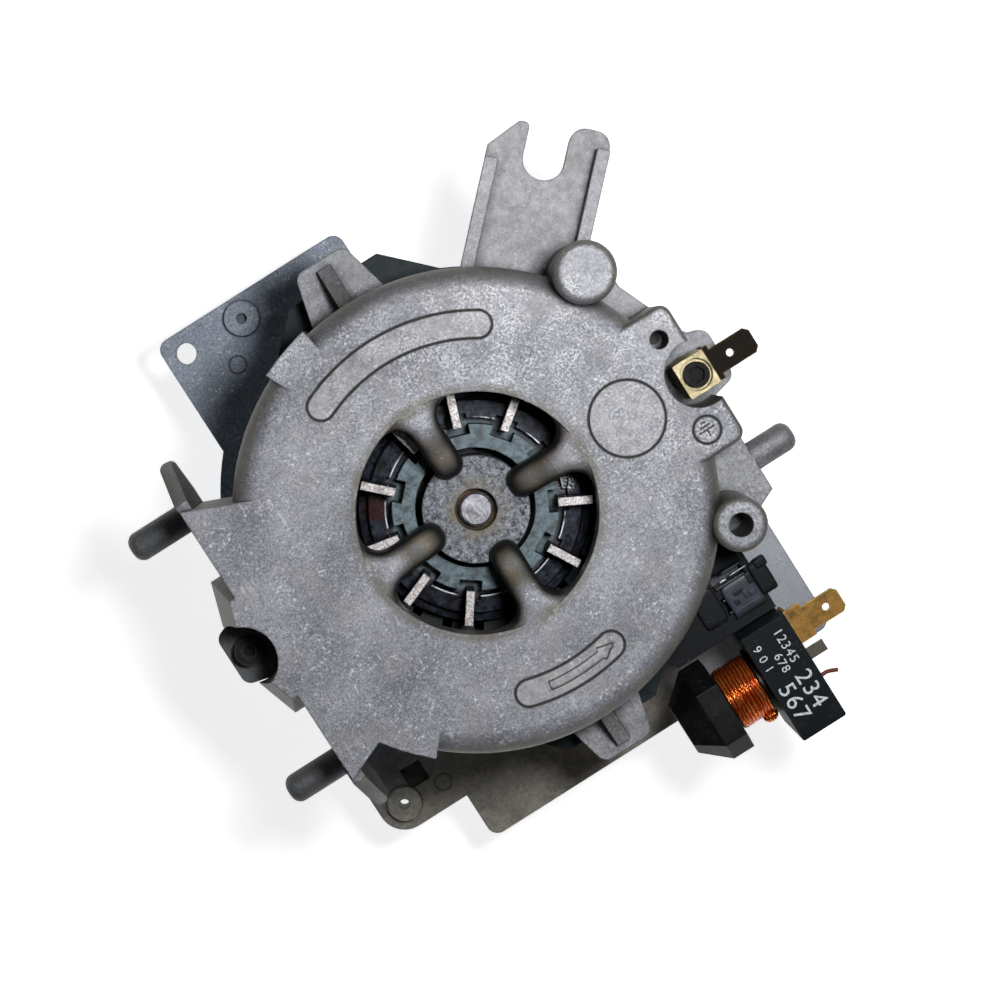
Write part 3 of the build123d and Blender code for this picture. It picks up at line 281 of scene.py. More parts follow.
def rear_casting():
    """Skin of the rear casting: painted shade in the grooves, on the window's rim, on the spoke
    noses and sides, inside the cap, in corners and along edges; tan stains at the window and on the
    shoulder; a lighter side and bright grains towards the key lamp as painted light."""
    made = Finish("cast_rear", Metallic=0.45)
    x, y, z = made.axes()
    base, blotches, grains = cast_skin(made, srgb(104, 107, 114), srgb(152, 154, 160))
    radius = made.away(x, y, 0.0, 0.0)
    turn = made.math("DEGREES", made.math("ARCTAN2", y, x))
    stain = made.span(made.noise(3.0, 4.0, 0.6), 0.35, 0.6)
    top = made.math("GREATER_THAN", z, CAP_TOP - 0.2)
    field = made.away(x, y, *ROUND_FIELD)

    # Lighter metal towards the fork, the key lamp's side: partly cleaner metal, partly painted
    # light; warm and cool patches; long pale scratches where the stretched noise peaks; bright
    # grains on the top as a painted highlight; small dark spots
    cleaner_and_lit_side = made.span(made.math("ADD", x, y), 45.0, 105.0, 0.0, 0.5)
    cleaner_lit_tone = made.mix(made.span(blotches, 0.4, 0.6), srgb(150, 150, 154), srgb(206, 206, 210))
    base = made.mix(cleaner_and_lit_side, base, cleaner_lit_tone)
    patches = made.span(made.noise(9.0, 4.0, 0.6), 0.5, 0.7, 0.0, 0.35)
    base = made.mix(patches, base, srgb(140, 132, 134))
    scuffs = made.span(made.noise(1.3, 3.0, 0.6, stretch=(1.0, 0.16, 1.0)), 0.6, 0.72)
    off_field = made.math("GREATER_THAN", field, ROUND_FIELD_RADIUS + 0.4)
    scuffed = made.both(scuffs, top, made.span(made.noise(18.0), 0.5, 0.6), off_field)
    base = made.mix(made.both(scuffed, 0.4), base, srgb(206, 208, 212))
    # Painted highlight: bright grains on the top face, stronger towards +x +y where the key lamp
    # stands
    painted_shading = made.both(top, made.span(made.math("ADD", x, y), 0.0, 70.0))
    painted_shading = made.both(painted_shading, made.span(made.noise(7.0), 0.42, 0.6))
    base = made.mix(made.both(painted_shading, made.span(grains, 0.5, 0.57), 0.7), base, srgb(228, 230, 234))
    spots = made.span(made.noise(1.1, 4.0, 0.8), 0.6, 0.68)
    spots = made.both(spots, made.span(made.noise(14.0), 0.45, 0.6), 0.55)
    base = made.mix(spots, base, srgb(70, 72, 76))

    # Painted shade with tan stains on the sloping shoulder; tan stains on the low ledges; painted
    # shade on the left side, away from the key lamp
    shoulder = made.both(made.span(radius, CAP_EDGE - 4.0, CAP_EDGE - 1.5), made.steep(0.99, 0.85))
    shoulder = made.both(shoulder, made.span(z, 60.0, 66.0))
    tan = made.mix(stain, srgb(70, 72, 76), srgb(92, 84, 62))
    base = made.mix(made.both(shoulder, 0.65), base, tan)
    low = made.both(made.span(z, 66.0, 56.0), made.span(radius, 46.0, 50.0), stain)
    base = made.mix(made.both(low, 0.25), base, srgb(98, 92, 78))
    left = made.both(made.span(x, -54.0, -56.5), made.math("LESS_THAN", z, CAP_TOP - 0.3))
    base = made.mix(made.both(left, 0.75), base, srgb(52, 56, 58))

    # Painted shade with tan stains on the rounding of the window's rim and on upright walls all
    # over, then the spokes from grey through tan to a nose and sides darkened as painted shade
    inner = made.span(radius, WINDOW_EDGE + 0.6, WINDOW_EDGE - 1.0)
    rim = made.both(made.line(radius, WINDOW_EDGE, 2.2), made.span(made.noise(4.0), 0.25, 0.6))
    base = made.mix(made.both(rim, 0.65), base, srgb(84, 78, 60))
    film = made.both(made.steep(), made.span(z, 40.0, 60.0), 0.55)
    base = made.mix(film, base, made.mix(stain, srgb(58, 60, 62), srgb(72, 66, 50)))
    dip = made.both(inner, made.span(z, CAP_TOP - 0.3, CAP_TOP - 2.4))
    tan = made.mix(stain, srgb(126, 126, 122), srgb(132, 114, 80))
    base = made.mix(made.both(dip, 0.6), base, tan)
    # Painted shade: the spokes' downward noses and steep sides inside the window go nearly black
    nose = made.both(inner, made.span(z, CAP_TOP - 5.0, CAP_TOP - 9.0))
    nose = made.both(nose, made.math("GREATER_THAN", z, HUB_TOP + 0.2))
    base = made.mix(made.both(nose, 0.95), base, srgb(18, 18, 16))
    base = made.mix(made.both(inner, made.steep(0.86, 0.5), 0.94), base, srgb(14, 14, 13))

    # Hub: a speckled turned face, tan near the shaft; the inside of the cap under the roof is
    # painted black as shade
    hub = made.math("LESS_THAN", radius, HUB_EDGE + 0.1)
    hub = made.both(hub, made.math("LESS_THAN", z, HUB_TOP + 0.15))
    speckle = made.span(made.noise(1.5, 5.0, 0.8), 0.42, 0.58)
    face = made.mix(speckle, srgb(66, 70, 76), srgb(128, 132, 140))
    veins = made.span(made.noise(2.0, 5.0, 0.8), 0.52, 0.57)
    veins = made.both(veins, made.span(radius, 7.0, 10.5), 0.9)
    face = made.mix(veins, face, srgb(16, 16, 18))
    glints = made.span(made.noise(0.8, 3.0, 0.8), 0.56, 0.64, 0.0, 0.6)
    face = made.mix(glints, face, srgb(186, 190, 198))
    face = made.mix(made.both(made.span(radius, 8.5, 5.6), stain, 0.7), face, srgb(104, 94, 68))
    base = made.mix(hub, base, face)
    # Painted shade: nearly black inside the cap, under the roof
    inside = made.math("LESS_THAN", z, CAP_TOP - 3.2)
    inside = made.both(inside, made.math("LESS_THAN", radius, CAP_INSIDE))
    inside = made.both(inside, made.math("GREATER_THAN", radius, WINDOW_EDGE + 0.1))
    base = made.mix(made.both(inside, 0.9), base, srgb(16, 16, 17))

    # Grooves cut in the flat top are painted dark, as painted shade with grime; the fields that
    # they ring are smoother
    slots = made.math(
        "MINIMUM",
        made.curved_pill(x, y, SLOT_BEND, turn, *LONG_SLOT),
        made.curved_pill(x, y, SLOT_BEND, turn, *SHORT_SLOT),
    )
    sign = made.away(x, y, *EARTH_SIGN)
    slot_groove = made.line(slots, SLOT_HALF_WIDTH, GROOVE_HALF_WIDTH)
    field_groove = made.line(field, ROUND_FIELD_RADIUS, GROOVE_HALF_WIDTH)
    sunk = made.math("MAXIMUM", slot_groove, field_groove)
    sunk = made.math("MAXIMUM", sunk, made.line(sign, EARTH_SIGN_RADIUS, GROOVE_HALF_WIDTH))
    sunk = made.both(sunk, made.math("GREATER_THAN", z, CAP_TOP - 0.6))
    in_slots = made.math("LESS_THAN", slots, SLOT_HALF_WIDTH - 0.2)
    in_field = made.math("LESS_THAN", field, ROUND_FIELD_RADIUS - 0.2)
    plain = made.both(made.math("MAXIMUM", in_slots, in_field), top)
    plain = made.both(plain, made.span(made.noise(3.0, 4.0, 0.6), 0.35, 0.65), 0.6)
    base = made.mix(plain, base, srgb(168, 166, 166))
    base = made.mix(made.both(sunk, 0.85), base, srgb(40, 38, 34))

    # Painted shade: patchy darkening in corners by ambient occlusion, a dim line along the edges,
    # and a dark inside of the screw hole
    corners = made.both(made.hollows(3.5), made.span(made.noise(5.0), 0.1, 0.45))
    base = made.mix(made.both(corners, 0.9), base, srgb(28, 26, 22))
    rubbed = made.both(made.edges(0.7), made.span(made.noise(1.6), 0.25, 0.5))
    base = made.mix(made.both(rubbed, 0.7), base, srgb(58, 56, 52))
    hole = made.math("LESS_THAN", made.away(x, y, *SCREW_HOLE), SCREW_HOLE_DARK)
    hole = made.both(hole, made.math("LESS_THAN", z, CAP_TOP - 0.4))
    base = made.mix(made.both(hole, 0.9), base, srgb(12, 12, 13))
    made.paint(base)
    made.roughen(made.span(blotches, 0.3, 0.7, 0.42, 0.6))
    made.relief((blotches, 0.14), (grains, 0.09), radius=0.4)
    return made.material


def front_casting():
    """Skin of the front casting: bluish at the upper end, lighter towards +x -y as painted light,
    brown stains at the lower end, round ejector marks, and painted shade in corners and along the
    edges."""
    made = Finish("cast_front", Metallic=0.4)
    x, y, z = made.axes()
    base, blotches, grains = cast_skin(made, srgb(108, 118, 132), srgb(148, 158, 172))
    # Painted light: lighter towards +x -y, the side the key lamp falls on
    side = made.span(made.math("SUBTRACT", x, y), -40.0, 90.0)
    base = made.mix(made.both(side, 0.6), base, srgb(160, 162, 166))
    stain = made.span(made.noise(7.0, 5.0, 0.65), 0.3, 0.62)
    warm = made.both(made.span(y, -30.0, -60.0), made.span(x, 40.0, 10.0), 0.75)
    brown = made.mix(made.span(blotches, 0.4, 0.6), srgb(98, 92, 78), srgb(150, 142, 124))
    base = made.mix(warm, base, brown)
    end = made.both(made.span(y, -30.0, -62.0), made.span(x, 30.0, -10.0))
    base = made.mix(made.both(end, stain, made.span(z, 7.0, 4.0), 0.45), base, srgb(64, 56, 38))
    specks = made.both(made.span(made.noise(2.2, 4.0, 0.7), 0.6, 0.68), 0.4)
    base = made.mix(specks, base, srgb(104, 86, 60))
    marks = made.math("MINIMUM", made.away(x, y, *UPPER_MARK), made.away(x, y, *LOWER_MARK))
    on_plate = made.math("GREATER_THAN", z, PLATE_TOP - 0.2)
    sunk = made.both(made.line(marks, MARK_RADIUS, 0.3), on_plate)
    base = made.mix(made.both(sunk, 0.7), base, srgb(52, 52, 52))
    # Painted shade: darkening in corners by ambient occlusion, and a dark line along the edges
    corners = made.both(made.hollows(4.0), made.span(made.noise(5.0), 0.2, 0.55))
    base = made.mix(made.both(corners, 0.8), base, srgb(40, 36, 30))
    painted_shading = made.both(made.edges(0.6), made.span(made.noise(1.6), 0.4, 0.66))
    base = made.mix(made.both(painted_shading, 0.35), base, srgb(60, 60, 60))
    made.paint(base)
    made.roughen(made.span(blotches, 0.3, 0.7, 0.45, 0.62))
    raised = made.math("SUBTRACT", 1.0, sunk)
    made.relief((blotches, 0.10), (grains, 0.05), (raised, 0.2), radius=0.45)
    return made.material


def rotor_casting():
    """Cast rotor ends: teal-grey rings with dark stains, pale worn fin tops, a bright line on the
    ledge's edge, and painted shade in the corners around the fins."""
    made = Finish("rotor_aluminium", Metallic=0.45)
    x, y, z = made.axes()
    radius = made.away(x, y, 0.0, 0.0)
    mottle = made.noise(1.6, 5.0, 0.7)
    pits = made.noise(0.5, 3.0, 0.7)
    base = made.mix(made.span(mottle, 0.36, 0.62), srgb(42, 52, 58), srgb(98, 116, 122))
    outer = made.mix(made.span(mottle, 0.4, 0.62), srgb(14, 16, 22), srgb(58, 66, 80))
    base = made.mix(made.span(radius, 19.6, 20.2), base, outer)
    stain = made.span(made.noise(3.0, 4.0, 0.6), 0.52, 0.66)
    base = made.mix(made.both(stain, 0.7), base, srgb(34, 24, 24))
    resin = made.span(made.away(x, y, *RESIN_SPOT), 3.4, 2.2)
    red = made.mix(made.span(pits, 0.4, 0.6), srgb(36, 14, 14), srgb(84, 46, 42))
    base = made.mix(made.both(resin, 0.85), base, red)
    chips = made.both(made.span(made.away(x, y, *CHIP_SPOT), 2.4, 1.6), made.span(pits, 0.5, 0.56))
    base = made.mix(chips, base, srgb(214, 216, 220))
    edge = made.both(made.line(radius, LEDGE_EDGE, 0.3), made.span(made.noise(4.0), 0.4, 0.55))
    edge = made.both(edge, made.math("GREATER_THAN", z, LEDGE_LEVEL))
    base = made.mix(edge, base, srgb(214, 220, 226))
    tops = made.math("GREATER_THAN", z, FIN_TOPS)
    bright = made.mix(made.span(pits, 0.36, 0.56), srgb(96, 90, 90), srgb(196, 192, 192))
    bright = made.mix(made.both(made.span(mottle, 0.52, 0.6), 0.5), bright, srgb(110, 96, 84))
    base = made.mix(tops, base, bright)
    # Painted shade: nearly black in the corners around the fins, by ambient occlusion
    corners = made.both(made.math("SUBTRACT", 1.0, tops), made.hollows(2.5), 0.85)
    base = made.mix(corners, base, srgb(14, 13, 14))
    made.paint(base)
    made.roughen(made.span(mottle, 0.3, 0.7, 0.4, 0.62))
    made.relief((mottle, 0.12), (pits, 0.05), radius=0.3)
    return made.material


def plain_metal(name, colour, rough, stain=srgb(60, 50, 40), stain_share=0.35, metal=0.9,
                shine=0.5, rubbed=None):
    """Turned or stamped metal with soft stains and fine dark specks. Edges are rubbed to the last
    colour, if one is given; shine is the gloss of the surface where it isn't metal."""
    made = Finish(name, Metallic=metal, **{"Specular IOR Level": shine})
    stains = made.noise(2.5, 4.0, 0.65)
    specks = made.noise(0.5, 2.0, 0.6)
    base = made.mix(made.span(stains, 0.45, 0.7, 0.0, stain_share), colour, stain)
    base = made.mix(made.span(specks, 0.35, 0.6, 0.3, 0.0), base, srgb(30, 30, 30))
    if rubbed:
        base = made.mix(made.both(made.edges(0.5), made.span(stains, 0.3, 0.5)), base, rubbed)
    made.paint(base)
    made.roughen(made.span(stains, 0.3, 0.7, rough, rough + 0.2))
    made.relief((specks, 0.02), radius=0.2)
    return made.material


def moulded(name, colour, rough, pale=srgb(40, 46, 52), shine=0.2):
    """Moulded plastic: clouds of the pale colour, dust, a matt skin and lighter rubbed edges."""
    made = Finish(name, **{"Specular IOR Level": shine})
    cloud = made.noise(4.0, 4.0, 0.6)
    pores = made.noise(0.35, 2.0, 0.6)
    base = made.mix(made.span(cloud, 0.4, 0.75, 0.0, 0.35), colour, pale)
    dust = made.both(made.span(pores, 0.64, 0.7), made.span(cloud, 0.5, 0.6), 0.35)
    base = made.mix(dust, base, srgb(120, 118, 110))
    rubbed = made.both(made.edges(0.3), made.span(made.noise(1.2), 0.45, 0.7), 0.3)
    base = made.mix(rubbed, base, srgb(96, 104, 110))
    made.paint(base)
    made.roughen(made.span(cloud, 0.3, 0.7, rough, rough + 0.15))
    made.relief((cloud, 0.04), (pores, 0.012), radius=0.25)
    return made.material


def stack_of_sheets():
    """Edge of the laminated stack: a level line for each sheet, under a dark film with rust."""
    made = Finish("lamination", Metallic=0.2, **{"Specular IOR Level": 0.2})
    z = made.axes()[2]
    sheet = 0.5
    sheets = made.math("SINE", made.math("MULTIPLY", z, 2.0 * math.pi / sheet))
    film = made.noise(3.0, 5.0, 0.65)
    base = made.mix(made.span(film, 0.35, 0.65), srgb(9, 15, 17), srgb(24, 38, 41))
    base = made.mix(made.both(made.span(sheets, 0.2, 1.0), 0.2), base, srgb(50, 62, 64))
    rust = made.both(made.span(made.noise(2.0, 4.0, 0.7), 0.62, 0.7), 0.6)
    base = made.mix(rust, base, srgb(84, 56, 36))
    made.paint(base)
    made.roughen(made.span(film, 0.3, 0.7, 0.4, 0.62))
    made.relief((sheets, 0.03), (film, 0.03), radius=0.3)
    return made.material


def coil_winding():
    """Enamelled copper wire: bright ridges with painted shade in the gaps between them along the
    coil's axis, and painted shade on the steeper sides."""
    made = Finish("coil_copper", Metallic=0.85, Roughness=0.24)
    x = made.axes()[0]
    wave = 0.86
    wander = made.math("MULTIPLY", made.noise(5.0, 2.0), 1.6)
    turns = made.math("MULTIPLY", made.math("ADD", x, wander), 2.0 * math.pi / wave)
    turns = made.math("SINE", turns)
    patches = made.span(made.noise(3.0, 4.0, 0.6), 0.4, 0.62)
    base = made.mix(patches, srgb(255, 150, 70), srgb(214, 88, 34))
    base = made.mix(made.both(made.span(turns, 0.0, -0.9), 0.75), base, srgb(70, 16, 5))
    base = made.mix(made.both(made.steep(0.7, 0.0), 0.5), base, srgb(110, 30, 8))
    made.paint(base)
    made.relief((turns, 0.08), radius=0.1)
    return made.material


def shaft_end():
    """Ground shaft steel whose end carries short crossing scratches."""
    made = Finish("shaft_steel", Metallic=0.7)
    one = made.noise(0.35, 2.0, 0.5, stretch=(1.0, 0.12, 1.0))
    other = made.noise(0.4, 2.0, 0.5, stretch=(0.14, 1.0, 1.0))
    cuts = made.math("MAXIMUM", made.span(one, 0.58, 0.68), made.span(other, 0.62, 0.7))
    clouds = made.span(made.noise(2.0, 4.0, 0.6), 0.35, 0.65)
    base = made.mix(clouds, srgb(82, 82, 86), srgb(134, 134, 140))
    base = made.mix(made.both(cuts, 0.4), base, srgb(212, 212, 218))
    made.paint(base)
    made.roughen(made.span(one, 0.3, 0.7, 0.28, 0.5))
    made.relief((cuts, 0.03), radius=0.3)
    return made.material


# One finish for each slot of the record
finishes = {
    "cast_rear": rear_casting(),
    "cast_front": front_casting(),
    "lamination": stack_of_sheets(),
    "winding": plain_metal("winding", srgb(92, 40, 24), 0.35),
    "bolt_steel": plain_metal(
        "bolt_steel", srgb(22, 24, 26), 0.4, metal=0.4, shine=0.2, rubbed=srgb(90, 92, 96),
    ),
    "bush_bronze": plain_metal("bush_bronze", srgb(140, 104, 66), 0.5),
    "spring_steel": plain_metal("spring_steel", srgb(150, 152, 156), 0.3),
    "felt": moulded("felt", srgb(60, 52, 42), 0.9, srgb(84, 74, 58)),
    "bearing_steel": plain_metal("bearing_steel", srgb(160, 162, 166), 0.3),
    "protector_case": moulded("protector_case", srgb(20, 20, 22), 0.5),
    "shaft_steel": shaft_end(),
    "circlip_steel": plain_metal("circlip_steel", srgb(60, 60, 62), 0.4),
    "rotor_steel": plain_metal("rotor_steel", srgb(60, 62, 66), 0.5),
    "rotor_aluminium": rotor_casting(),
    "washer_plastic": moulded("washer_plastic", srgb(70, 60, 48), 0.5),
    "terminal_brass": plain_metal(
        "terminal_brass", srgb(186, 174, 138), 0.45, stain=srgb(112, 94, 58),
        metal=0.3, shine=0.3, rubbed=srgb(96, 80, 44),
    ),
    "earth_screw_steel": plain_metal(
        "earth_screw_steel", srgb(14, 13, 12), 0.45, stain=srgb(40, 36, 28), metal=0.2, shine=0.1,
    ),
    # The tinned tab is coloured nearly black as a painted reflection of the dark room; its edges
    # are tan
    "tab_tinned": plain_metal(
        "tab_tinned", srgb(12, 8, 4), 0.55, stain=srgb(44, 31, 14), stain_share=0.6,
        metal=0.1, shine=0.1, rubbed=srgb(140, 116, 66),
    ),
    "carrier_black": moulded("carrier_black", srgb(9, 12, 16), 0.4, srgb(20, 26, 34), 0.12),
    "clip_brass": plain_metal(
        "clip_brass", srgb(44, 48, 54), 0.3, stain=srgb(16, 18, 22), metal=0.5,
    ),
    "lead_sleeve": moulded("lead_sleeve", srgb(60, 22, 16), 0.4),
    "relay_black": moulded("relay_black", srgb(9, 16, 20), 0.42, srgb(14, 24, 29), 0.12),
    "bobbin_black": moulded("bobbin_black", srgb(7, 8, 9), 0.32, srgb(12, 15, 18)),
    "coil_copper": coil_winding(),
    "plunger_steel": plain_metal("plunger_steel", srgb(140, 140, 142), 0.35),
    "contact_metal": plain_metal("contact_metal", srgb(180, 150, 100), 0.35),
    "relay_tab_brass": plain_metal(
        "relay_tab_brass", srgb(140, 104, 40), 0.4, stain=srgb(70, 46, 14), stain_share=0.7,
        metal=0.6, rubbed=srgb(204, 176, 110),
    ),
    "small_tab_brass": plain_metal("small_tab_brass", srgb(84, 80, 70), 0.4, metal=0.6),
    "coil_wire": moulded("coil_wire", srgb(110, 48, 36), 0.35),
}
for part in frame["record"]["subparts"]:
    node = nodes[part["node"]]
    for place in node.material_slots:
        place.material = finishes[part["material_slot"]]


def grid_piece(name, points, body, slot_name, around=False, along=False):
    """A mesh over a grid of points (rows, columns, 3) in millimetres, joined in quads. around
    joins the last column to the first, along the last row to the first."""
    rows, columns = points.shape[:2]
    row = np.arange(rows if along else rows - 1)[:, None]
    column = np.arange(columns if around else columns - 1)[None, :]
    next_row = (row + 1) % rows
    next_column = (column + 1) % columns
    corners = [
        row * columns + column,
        row * columns + next_column,
        next_row * columns + next_column,
        next_row * columns + column,
    ]
    corners = [np.broadcast_to(corner, (row.size, column.size)) for corner in corners]
    faces = np.stack(corners, axis=-1).reshape(-1, 4)
    mesh = bpy.data.meshes.new(name)
    mesh.from_pydata((points.reshape(-1, 3) * MM).tolist(), [], faces.tolist())
    mesh.polygons.foreach_set("use_smooth", np.ones(len(faces), dtype=bool))
    mesh.materials.append(finishes[slot_name])
    piece = bpy.data.objects.new(name, mesh)
    scene.collection.objects.link(piece)
    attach(piece, body)
    return piece


def wound_coil():
    """Wound copper, turned about the coil's axis. Its outer skin is
    R(x) = 7.68 + 0.06 wander(x) + 0.2 |sin(pi (x - start) / pitch)| - 0.5 (1 - taper(x))^2,
    where taper falls from 1 to 0 over the last half millimetre at each end, and its bore is 5.3.
    The skin leans along the axis by pitch / 4 for each half turn, so that the wires climb."""
    pitch, start, end, bore = 0.43, 25.4, 34.0, 5.3
    x = np.linspace(start, end, 161)
    wander = np.sin(x * 1.9) + 0.6 * np.sin(x * 4.3 + 1.0)
    outer = 7.68 + 0.06 * wander + 0.2 * np.abs(np.sin(math.pi * (x - start) / pitch))
    taper = np.minimum(1.0, np.minimum(x - start, end - x) / 0.5)
    outer = outer - 0.5 * (1.0 - taper) ** 2
    section_x = np.concatenate([x, x[::-20]])
    section_r = np.concatenate([outer, np.full(x[::-20].size, bore)])
    angle = np.linspace(0.0, 2.0 * math.pi, 73)[:-1]
    lean = 0.25 * pitch * angle[:, None] / math.pi * (section_r > bore + 0.7)[None, :]
    lean = lean * np.minimum(1.0, (end - section_x) / pitch)[None, :]
    along = np.clip(section_x[None, :] + lean, start, end)
    across = COIL_AXIS[0] + np.cos(angle)[:, None] * section_r[None, :]
    up = COIL_AXIS[1] + np.sin(angle)[:, None] * section_r[None, :]
    points = np.stack([along, across, up], axis=-1)[::-1]
    piece = grid_piece("wound_coil", points, "motor_frame", "coil_copper", around=True, along=True)
    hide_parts("relay_coil")


def ball(name, centre, radii, slot_name):
    """A closed ellipsoid: centre + radii (cos t cos p, cos t sin p, sin t), its poles points."""
    tilt = np.linspace(-math.pi / 2, math.pi / 2, 17)[:, None]
    turn = np.linspace(0.0, 2.0 * math.pi, 33)[None, :-1]
    shape = np.stack([
        np.cos(tilt) * np.cos(turn),
        np.cos(tilt) * np.sin(turn),
        np.broadcast_to(np.sin(tilt), (tilt.size, turn.size)),
    ], axis=-1)
    points = np.array(centre) + shape * np.array(radii)
    grid_piece(name, points, "motor_frame", slot_name, around=True)


def rounded_block(name, centre, half, slot_name, material):
    """A closed block with soft edges: centre + half (c(t) c(p), c(t) s(p), s(t)), where c and s
    are cosine and sine with their size raised to the power 0.28."""
    def soft(value):
        return np.sign(value) * np.abs(value) ** 0.28

    tilt = np.linspace(-math.pi / 2, math.pi / 2, 21)[:, None]
    turn = np.linspace(0.0, 2.0 * math.pi, 49)[None, :-1]
    shape = np.stack([
        soft(np.cos(tilt)) * soft(np.cos(turn)),
        soft(np.cos(tilt)) * soft(np.sin(turn)),
        np.broadcast_to(soft(np.sin(tilt)), (tilt.size, turn.size)),
    ], axis=-1)
    points = np.array(centre) + shape * np.array(half)
    piece = grid_piece(name, points, "motor_frame", slot_name, around=True)
    piece.data.materials[0] = material


def direction_arrow(name, wider, height, material):
    """Raised arrow bent along the short slot. With s from 0 at the tail to 1 at the tip, its half
    width is ARROW_TAIL up to the neck n and ARROW_HEAD (1 - s) / (1 - n) past it, with wider added
    to both, and its sides drop to just below the flat top."""
    tail = [[0.0, 0.004], np.linspace(0.05, 0.76, 9), [0.785]]
    share = np.concatenate([*tail, [ARROW_NECK], np.linspace(0.82, 0.995, 9), [1.0]])
    head = ARROW_HEAD * (1.0 - share) / (1.0 - ARROW_NECK)
    width = np.where(share < ARROW_NECK, ARROW_TAIL, head) + wider
    width[0] = 0.02
    border = math.degrees(wider / SLOT_BEND)
    angle = np.radians(ARROW_START - border + share * (ARROW_END - ARROW_START + 2.5 * border))
    across = np.array([-1.0, -1.0, -0.95, -0.5, 0.0, 0.5, 0.95, 1.0, 1.0])
    profile = np.array([0.0, 0.6, 1.0, 1.0, 1.0, 1.0, 1.0, 0.6, 0.0])
    reach = SLOT_BEND + across[None, :] * width[:, None]
    sunk = 0.05
    level = CAP_TOP - sunk + (height + sunk) * profile[None, :] * np.ones((share.size, 1))
    places = [reach * np.cos(angle)[:, None], reach * np.sin(angle)[:, None], level]
    points = np.stack(places, axis=-1)
    piece = grid_piece(name, points[:, ::-1], "motor_frame", "cast_rear")
    piece.data.materials[0] = material


def sign_bar(name, start, end):
    """A low rounded bar on the flat top from start to end: across it, with v from -1 to 1, its
    height follows 1 - v^4, and it drops to nothing at its ends."""
    half_width, height, sunk = 0.2, 0.12, 0.02
    first, last = np.array(start, float), np.array(end, float)
    heading = (last - first) / np.linalg.norm(last - first)
    side = np.array([-heading[1], heading[0]])
    t = np.concatenate([[0.0, 0.03], np.linspace(0.1, 0.9, 5), [0.97, 1.0]])
    v = np.linspace(-1.0, 1.0, 9)
    ends = np.minimum(1.0, np.minimum(t, 1.0 - t) / 0.03)
    base = first[None, None, :] + (last - first)[None, None, :] * t[:, None, None]
    base = base + side[None, None, :] * (half_width * v)[None, :, None]
    up = CAP_TOP - sunk + height * (1.0 - v[None, :] ** 4) * ends[:, None]
    points = np.concatenate([base, up[..., None]], axis=-1)
    piece = grid_piece(name, points[:, ::-1], "motor_frame", "cast_rear")
    piece.data.materials[0] = shade_and_grime.material


def printed(name, text, size, across, along):
    """White print on the relay's top: flat digits whose base line runs along -Y, tops towards +X.
    across and along give its place from the print's corner."""
    letters = bpy.data.curves.new(name, "FONT")
    letters.body = text
    letters.size = size * MM * PRINT_FULL
    letters.extrude = 0.03 * MM
    letters.space_character = 1.12
    letters.resolution_u = 3
    drawn = bpy.data.objects.new(name + "_letters", letters)
    scene.collection.objects.link(drawn)
    bpy.context.view_layer.update()
    made = drawn.evaluated_get(bpy.context.evaluated_depsgraph_get())
    mesh = bpy.data.meshes.new_from_object(made)
    bpy.data.objects.remove(drawn)
    turn = Matrix(((0.0, 1.0, 0.0), (-1.0, 0.0, 0.0), (0.0, 0.0, 1.0))).to_4x4()
    place = Vector((PRINT_CORNER[0] + across, PRINT_CORNER[1] - along, PRINT_CORNER[2]))
    mesh.transform(Matrix.Translation(place * MM) @ turn)
    mesh.materials.clear()
    mesh.materials.append(print_white)
    piece = bpy.data.objects.new(name, mesh)
    scene.collection.objects.link(piece)
    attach(piece, "motor_frame")


# Plain numbers on the relay
ink = Finish("print_white", Roughness=0.6)
ink_share = ink.span(ink.noise(0.4, 3.0, 0.7), 0.3, 0.55)
ink.paint(ink.mix(ink_share, srgb(120, 128, 134), srgb(206, 210, 214)))
ink.relief((ink.noise(0.3), 0.01))
print_white = ink.material
for index, (text, size, across, along) in enumerate((
    ("12345", 2.4, 7.3, 2.2),
    ("678", 2.2, 4.5, 7.2),
    ("9 0 1", 2.2, 1.2, 3.2),
    ("234", 4.3, 6.2, 13.6),
    ("567", 4.3, 1.2, 14.2),
)):
    printed("relay_print_" + str(index), text, size, across, along)

# The coil with a drop of varnish beside it
wound_coil()
ball("varnish_drop", (32.4, -79.9, 50.0), (1.9, 1.5, 1.7), "coil_copper")

# Arrow and earth sign in the grooves: the arrow edged with a dark border and the sign's bars dark,
# as painted shade with grime
shade_and_grime = Finish("groove_shade_and_grime", Roughness=0.7)
shade_and_grime_share = shade_and_grime.span(shade_and_grime.noise(0.5, 3.0, 0.7), 0.3, 0.6)
shade_and_grime.paint(shade_and_grime.mix(shade_and_grime_share, srgb(26, 25, 23), srgb(70, 66, 60)))
shade_and_grime.relief((shade_and_grime.noise(0.3), 0.01))
direction_arrow("arrow_border", 0.22, 0.05, shade_and_grime.material)
direction_arrow("direction_arrow", 0.0, 0.22, finishes["cast_rear"])
for index, (start, end) in enumerate((
    ((52.9, -13.3), (52.9, -11.6)),
    ((50.9, -11.6), (54.9, -11.6)),
    ((51.6, -10.7), (54.2, -10.7)),
    ((52.3, -9.8), (53.5, -9.8)),
)):
    sign_bar("earth_sign_bar_" + str(index), start, end)

